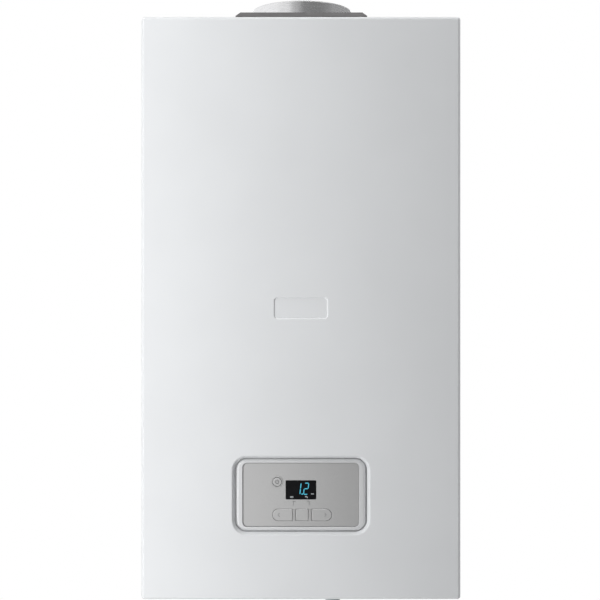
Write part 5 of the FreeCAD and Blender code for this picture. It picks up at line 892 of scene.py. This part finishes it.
@piece("motor_black")
def valve_caps(bm):
    """End caps and feet of the two coils, and the plug socket beside them."""
    for height in COIL_HEIGHTS:
        lathe(bm, aimed(place(VALVE.x, VALVE.front, height)), COIL_CAP, sides=48)
        band(bm, place(VALVE.x, VALVE_FACE - COIL_FOOT_OUT, height), COIL_FOOT)
    socket = place(VALVE.x + SOCKET_X, VALVE_FACE, VALVE.height)
    slab(bm, socket, SOCKET)
    slab(bm, socket + FRONT * SOCKET.depth, SOCKET_LID)


@piece("brass")
def valve_brass(bm):
    """Nuts on the coils' ends, and two test nipples."""
    for height in COIL_HEIGHTS:
        at = place(VALVE.x, VALVE.front - COIL_NUT_OUT, height)
        prism(bm, aimed(at), regular(COIL_NUT.across, sides=6), COIL_NUT.height, COIL_NUT_EDGE)
    for rise in (-NIPPLE_RISE, NIPPLE_RISE):
        at = place(VALVE.x + NIPPLE_X, VALVE_FACE, VALVE.height + rise)
        lathe(bm, aimed(at), NIPPLE, sides=24)


@piece("zinc_sheet")
def valve_screws(bm):
    for aside in (-VALVE_SCREW_X, VALVE_SCREW_X):
        for height in (VALVE.low + VALVE_SCREW_INSET, VALVE.high - VALVE_SCREW_INSET):
            hex_screw(bm, place(VALVE.x + aside, VALVE_FACE, height), VALVE_SCREW)


@piece("brass")
def gas_unions(bm):
    union_nut(bm, place(VALVE.x, VALVE_Y, VALVE.low - SHOULDER_RISE), SUPPLY_NUT, DOWN)
    union_nut(bm, place(VALVE.x, VALVE_Y, VALVE.high + SHOULDER_RISE), FEED_NUT)
    union_nut(bm, place(FAN.x, MIXER.y, MIXER.low - PORT_NUT_DROP), PORT_NUT, DOWN)


# Water side: pump motor, unions, hose clamps, vessel's cap, actuator and condensate trap

PUMP, BLOCK, VESSEL = Box("pump_motor"), Box("return_block"), Box("expansion_vessel")
HOSE, ACTUATOR = Box("condensate_hose"), Box("diverter_actuator")
PUMP_NOSE = place(PUMP.x, PUMP.front, PUMP.height)
FINS, FIN_RADIUS, FIN_CIRCLE, FIN_LENGTH, FIN_INSET = 30, 1.7, 42.5, 46, 8
FIN_START = place(PUMP.x, PUMP.back - FIN_INSET, PUMP.height)
TERMINAL_ANGLE, TERMINAL_REACH, TERMINAL_OUT = 132, 25, 38
TERMINAL = Plate(40, 40, 13, 4, 1.5)
TERMINAL_LID = Plate(33, 33, 2.2, 3, 1)
VENT_SCREW = ((0, 0), (9.5, 0), (9.5, 1.4), (8.7, 2.2), (0, 2.2))
VENT_HALF_OUT, VENT_HALF = 4, rounded(width=11.5, height=5.4, radius=2.4, steps=5)
PUMP_RING = ((13, -0.4), (26, -0.4), (26, 0.8), (25.2, 1.5), (14, 1.5), (13, 0.8))
PUMP_SCREW, PUMP_SCREW_CIRCLE, PUMP_SCREW_INSET = 3.2, 45.2, 5
BLOCK_PIPE_X = 18.5
PIPE_NUT, HOSE_NUT = Nut(14.4, 11), Nut(10.4, 9)
HEATING_NUT, WATER_NUT, TAP_NUT_LOW = Nut(16.4, 12), Nut(13, 11), 24
TRAP_HOSE_RADIUS, TRAP_HOSE_Y, TRAP_CLAMP_DROP = 12, -150, 18
VESSEL_HOSE_RADIUS, VESSEL_CLAMP_DROP, BLOCK_CLAMP_RISE = 6, 12, 13
VESSEL_CAP_DROP = 52
VESSEL_CAP = ((0, 0), (10.5, 0), (10.5, 0.8), (9.4, 1.4), (6.4, 1.4), (6.4, 2.4), (0, 2.4))
ACTUATOR_LID = Plate(34, 27, 2.2, 4, 0.8)
ACTUATOR_PLUG = Plate(15, 9, 6, 1.2, 0.6)
ACTUATOR_LEVER = Plate(12, 6, 1.6, 2, 0.5)
# Plates on the actuator's front, with their places from its middle
ACTUATOR_FRONTS = ((ACTUATOR_LID, 0, 5), (ACTUATOR_PLUG, -9, -16), (ACTUATOR_LEVER, 10, -16))
ACTUATOR_CHEEK = Plate(20, 12, 1.6, 2, 0.6)
CHEEK_SETBACK = 18
GRIPS, GRIP_CIRCLE, GRIP_RADIUS, GRIP_RISE, GRIP_LENGTH = 28, 29.6, 1.3, 8, 23
TRAP_BEADS = ((198, Ring(26.5, 28.6, 3)), (262, Ring(26.5, 28.2, 3)))
TRAP_NUT_LOW = 281


@piece("motor_black")
def pump_fins(bm):
    """Cooling fins along the motor, and the terminal box on its upper left."""
    for k in range(FINS):
        degrees = 360 / FINS * k
        if abs(degrees - TERMINAL_ANGLE) >= TERMINAL_REACH:
            start = around(FIN_START, FIN_CIRCLE, degrees)
            bar(bm, [start, start + FRONT * FIN_LENGTH], FIN_RADIUS, sides=8)
    outward = around(Vector(), 1, TERMINAL_ANGLE)
    terminal = FIN_START + FRONT * (FIN_LENGTH / 2) + outward * TERMINAL_OUT
    slab(bm, terminal, TERMINAL, outward)
    slab(bm, terminal + outward * TERMINAL.depth, TERMINAL_LID, outward)


@piece("brass")
def pump_vent(bm):
    """Brass vent screw with a slot, on the motor's end."""
    lathe(bm, aimed(PUMP_NOSE), VENT_SCREW, sides=36)
    for aside in (-VENT_HALF_OUT, VENT_HALF_OUT):
        half = [(x, y + aside) for x, y in VENT_HALF]
        prism(bm, aimed(PUMP_NOSE), half, height=4.0, edge=0.5, low=2.0)


@piece("actuator_grey")
def pump_ring(bm):
    lathe(bm, aimed(PUMP_NOSE), PUMP_RING, sides=64, closed=True)


@piece("zinc_sheet")
def pump_screws(bm):
    flange = place(PUMP.x, PUMP.back - PUMP_SCREW_INSET, PUMP.height)
    screw_circle(bm, flange, PUMP_SCREW_CIRCLE, first=45, count=4, radius=PUMP_SCREW)


@piece("brass")
def pipe_unions(bm):
    low = BLOCK.high + SHOULDER_RISE
    for x in (FLOW_TAP.x, BLOCK.x - BLOCK_PIPE_X):
        union_nut(bm, place(x, BLOCK.y, low), PIPE_NUT)
    union_nut(bm, place(BLOCK.x + BLOCK_PIPE_X, BLOCK.y, low), HOSE_NUT)
    for tap in (FLOW_TAP, RETURN_TAP):
        union_nut(bm, place(tap.x, tap.y, TAP_NUT_LOW), HEATING_NUT)
    for tap in (HOT_TAP, COLD_TAP):
        union_nut(bm, place(tap.x, tap.y, TAP_NUT_LOW), WATER_NUT)


@piece("stainless")
def hose_clamps(bm):
    trap_hose = place(HOSE.left + TRAP_HOSE_RADIUS, TRAP_HOSE_Y, HOSE.high - TRAP_CLAMP_DROP)
    hose_clamp(bm, trap_hose, TRAP_HOSE_RADIUS)
    hose_clamp(bm, place(VESSEL.x, VESSEL.y, VESSEL.low - VESSEL_CLAMP_DROP), VESSEL_HOSE_RADIUS)
    block_end = place(BLOCK.x + BLOCK_PIPE_X, BLOCK.y, BLOCK.high + BLOCK_CLAMP_RISE)
    hose_clamp(bm, block_end, VESSEL_HOSE_RADIUS)


@piece("seal_rubber")
def vessel_cap(bm):
    """Charging valve's cap on the vessel's front, with a knurled side."""
    matrix = aimed(place(VESSEL.x, VESSEL.front, VESSEL.high - VESSEL_CAP_DROP))
    lathe(bm, matrix, VESSEL_CAP)
    prism(bm, matrix, fluted(inner=5.7, outer=6.2, flutes=18), height=9.6, edge=0.9, low=2.0)


@piece("motor_black")
def actuator_trim(bm):
    """Raised lid, plug socket and release lever on the diverter's motor, and a plate on each side."""
    for plate, aside, rise in ACTUATOR_FRONTS:
        slab(bm, place(ACTUATOR.x + aside, ACTUATOR.front, ACTUATOR.height + rise), plate)
    for x, outward in ((ACTUATOR.left, LEFT), (ACTUATOR.right, RIGHT)):
        slab(bm, place(x, ACTUATOR.front + CHEEK_SETBACK, ACTUATOR.height), ACTUATOR_CHEEK, outward)


@piece("trap_grey")
def trap_ribs(bm):
    """Grip ribs round the trap's cup, two beads above it and a fluted nut on its neck."""
    for x, y in regular(GRIP_CIRCLE, GRIPS):
        foot = place(TRAP.x + x, TRAP.y + y, TRAP.high + GRIP_RISE)
        bar(bm, [foot, foot + UP * GRIP_LENGTH], GRIP_RADIUS, sides=8)
    for height, bead in TRAP_BEADS:
        band(bm, place(TRAP.x, TRAP.y, height), bead, UP, sides=64)
    neck = aimed(place(TRAP.x, TRAP.y, TRAP_NUT_LOW), UP)
    prism(bm, neck, fluted(inner=17.8, outer=19.0, flutes=20), height=12, edge=1.2)


# Controls, cover lining and tray

CONTROL, CARRIER = Box("control_box"), Box("control_carrier")
COVER, TRAY = Box("front_cover"), Box("back_frame")
VENT, VENTS, VENT_PITCH, VENT_Y = Plate(6, 34, 1.2, 2.4, 0.5), 9, 14, -258
SIDE_RIB, SIDE_RIB_HEIGHT = Plate(3, 88, 1.4, 1.2, 0.6), 130
CORNER_SCREW, CORNER_X, CORNER_INSET, CORNER_OUT = 2.2, 88, 6.5, 2
CARRIER_SCREW, CARRIER_SCREW_X, CARRIER_SCREW_HEIGHT = 3, 82, 62
CARRIER_BEAD, CARRIER_BEAD_X, CARRIER_BEAD_SINK, CARRIER_BEADS = 2.2, 62, 0.4, (24, 46)
LINING, LINING_HEIGHT, COVER_SHEET = Plate(352, 300, 2, 8, 0.7), 548, 1
TRAY_BEAD, TRAY_BEAD_SINK = 3.2, 1.4
UPRIGHT_BEADS, UPRIGHT_ENDS, LEVEL_BEADS = (-150, -75, 75, 150), (60, 330), (420, 560)
RIVET_X, RIVET_SINK, RIVET_HEIGHTS = 187, 1, range(40, 700, 130)
RIVET = ((0, 0), (4.2, 0), (3.9, 1), (2.6, 1.8), (1.2, 2.1), (0, 2.1))


@piece("moulded_black")
def box_vents(bm):
    """Vent bars on top of the control box and ribs on its sides."""
    for k in range(VENTS):
        slab(bm, place(VENT_PITCH * (k - VENTS // 2), VENT_Y, CONTROL.high), VENT, UP)
    for x, outward in ((CONTROL.left, LEFT), (CONTROL.right, RIGHT)):
        for y in (VENT_Y - VENT_PITCH, VENT_Y, VENT_Y + VENT_PITCH):
            slab(bm, place(x, y, SIDE_RIB_HEIGHT), SIDE_RIB, outward)


@piece("zinc_sheet")
def box_screws(bm):
    for side in (-1, 1):
        for height in (CONTROL.low + CORNER_INSET, CONTROL.high - CORNER_INSET):
            at = place(side * CORNER_X, CONTROL.front - CORNER_OUT, height)
            hex_screw(bm, at, CORNER_SCREW)
        at = place(side * CARRIER_SCREW_X, CARRIER.front, CARRIER_SCREW_HEIGHT)
        hex_screw(bm, at, CARRIER_SCREW)


@piece("zinc_sheet")
def carrier_beads(bm):
    """Two pressed beads across the carrier under the control box."""
    y = CARRIER.front + CARRIER_BEAD_SINK
    for height in CARRIER_BEADS:
        ends = [place(x, y, height) for x in (-CARRIER_BEAD_X, CARRIER_BEAD_X)]
        bar(bm, ends, CARRIER_BEAD, sides=16)


@piece("grey_foam", body="cover")
def cover_lining(bm):
    """Foam sheet on the inside of the cover in front of the heat cell."""
    slab(bm, place(0, COVER.front + COVER_SHEET, LINING_HEIGHT), LINING, BACK)


@piece("zinc_sheet")
def tray_beads(bm):
    """Pressed beads on the inside of the back tray, four upright and two level."""
    y = TRAY.front + TRAY_BEAD_SINK
    for x in UPRIGHT_BEADS:
        bar(bm, [place(x, y, height) for height in UPRIGHT_ENDS], TRAY_BEAD, sides=18)
    for height in LEVEL_BEADS:
        bar(bm, [place(x, y, height) for x in (UPRIGHT_BEADS[0], UPRIGHT_BEADS[-1])], TRAY_BEAD, sides=18)


@piece("zinc_sheet")
def tray_rivets(bm):
    for x in (-RIVET_X, RIVET_X):
        for height in RIVET_HEIGHTS:
            lathe(bm, aimed(place(x, TRAY.front + RIVET_SINK, height), BACK), RIVET, sides=24)


# Stage, in metres: a pale floor far below the hung boiler, soft lamps, and the camera straight in front

FLOOR_Z, FLOOR_RADIUS, FADE_RADIUS = -1.6, 2.2, 0.7
FLOOR_COLOUR = (0.86, 0.86, 0.86)
FILL_STRENGTH = 0.2
KEY_AIM, SOFT_AIM, TOP_AIM = (0, -0.3, -0.285), (0, -0.15, -0.285), (0.1, -0.25, -0.1)
CAMERA_AT, CAMERA_ANGLE, CAMERA_SHIFT = (0.012, -1.8, -0.285), math.radians(28.1), (-0.0175, 0.0134)


def stage_card(name, corners, colour):
    mesh = bpy.data.meshes.new(name)
    mesh.from_pydata(corners, [], [tuple(range(len(corners)))])
    card = added(name, mesh)
    paint = Look(name, colour, rough=0.9)
    paint.tint(paint.noise(300), scaled(colour, 0.97))
    mesh.materials.append(paint.material)
    return card, paint


def mirror_card(name, corners, grey):
    """A grey card that only reflections show, and that neither lights nor shades anything."""
    card, paint = stage_card(name, corners, (0, 0, 0))
    paint.set("Specular IOR Level", 0)
    paint.set("Emission Color", (grey, grey, grey, 1)).set("Emission Strength", 1)
    card.visible_camera = card.visible_diffuse = card.visible_shadow = card.visible_transmission = False


def calculated(tree, operation, first, second):
    made = tree.nodes.new("ShaderNodeMath")
    made.operation = operation
    tree.links.new(first, made.inputs[0])
    tree.links.new(second, made.inputs[1])
    return made.outputs[0]


def fade_out(paint, start, end):
    """Turns a flat card as white to the camera as the backdrop, between two distances from its middle."""
    away = paint.node("ShaderNodeVectorMath")
    away.operation = "LENGTH"
    paint.fill(away.inputs[0], paint.stretched((1, 1, 0)))
    to_camera = paint.node("ShaderNodeLightPath").outputs["Is Camera Ray"]
    shown = calculated(paint.tree, "MULTIPLY", paint.spread(away.outputs["Value"], start, end), to_camera)
    paint.set("Emission Color", (1, 1, 1, 1)).set("Emission Strength", shown)
    paint.material.cycles.emission_sampling = "NONE"


def area_light(name, at, aim, width, height, watts):
    lamp = bpy.data.lights.new(name, "AREA")
    lamp.shape = "RECTANGLE"
    lamp.size, lamp.size_y = width, height
    lamp.energy = watts
    light = added(name, lamp)
    light.location = at
    light.visible_camera = False
    light.rotation_euler = (Vector(aim) - Vector(at)).to_track_quat("-Z", "Y").to_euler()
    return light


def world_light(fill):
    """White to the camera, to mirrors and through glass, and a dim grey fill for everything else."""
    world = bpy.data.worlds.new("studio")
    SCENE.world = world
    world.use_nodes = True
    tree = world.node_tree
    backdrop = tree.nodes["Background"]
    path = tree.nodes.new("ShaderNodeLightPath")
    shown = path.outputs["Is Camera Ray"]
    for kind in ("Is Glossy Ray", "Is Transmission Ray"):
        shown = calculated(tree, "MAXIMUM", shown, path.outputs[kind])
    strength = tree.nodes.new("ShaderNodeMapRange")
    strength.inputs["To Min"].default_value = fill
    tree.links.new(shown, strength.inputs["Value"])
    backdrop.inputs["Color"].default_value = (1, 1, 1, 1)
    tree.links.new(strength.outputs["Result"], backdrop.inputs["Strength"])


floor_rim = [(x, y, FLOOR_Z) for x, y in regular(FLOOR_RADIUS, sides=96)]
floor_paint = stage_card("floor", floor_rim, FLOOR_COLOUR)[1]
fade_out(floor_paint, FADE_RADIUS, FLOOR_RADIUS)
world_light(FILL_STRENGTH)
key = area_light("key_strip", (-0.49, -0.805, -0.29), KEY_AIM, width=0.25, height=2.2, watts=7.75)
right = area_light("right_soft", (2.2, 0.5, 0.4), SOFT_AIM, width=1.2, height=1.6, watts=26)
area_light("back_soft", (0, 2.6, 0.6), SOFT_AIM, width=1.4, height=1.6, watts=34)
area_light("top_soft", (0.3, -0.55, 1.3), TOP_AIM, width=0.9, height=0.5, watts=7.6)
key.visible_glossy = right.visible_glossy = False

# Reflections: cards on a circle round the flue, by their two angles from the front, heights and grey
CARD_CIRCLE = 2.3
UPPER, LOWER = (0, 1.8), (-1.8, 0)
REFLECTIONS = {
    "upper_left_card": (-55, -24, UPPER, 0.85),
    "upper_middle_card": (-24, -3, UPPER, 0.45),
    "upper_front_card": (-3, 52, UPPER, 0.2),
    "upper_right_card": (52, 70, UPPER, 0.26),
    "upper_side_card": (70, 165, UPPER, 0.36),
    "lower_front_card": (0.2, 60, LOWER, 0.2),
    "lower_right_card": (60, 110, LOWER, 0.3),
    "lower_left_card": (-60, -38, LOWER, 1.4),
}


def on_circle(degrees, height):
    turn = math.radians(degrees)
    return CARD_CIRCLE * math.sin(turn), COLLAR.y * MM - CARD_CIRCLE * math.cos(turn), height


for name, (start, end, (low, high), grey) in REFLECTIONS.items():
    ends = [(start, low), (end, low), (end, high), (start, high)]
    mirror_card(name, [on_circle(*corner) for corner in ends], grey)

camera = added("camera", bpy.data.cameras.new("camera"))
camera.location = CAMERA_AT
camera.rotation_euler = (math.pi / 2, 0, 0)
camera.data.sensor_fit = "HORIZONTAL"
camera.data.angle = CAMERA_ANGLE
camera.data.shift_x, camera.data.shift_y = CAMERA_SHIFT
SCENE.camera = camera
SCENE.view_settings.view_transform = "Standard"
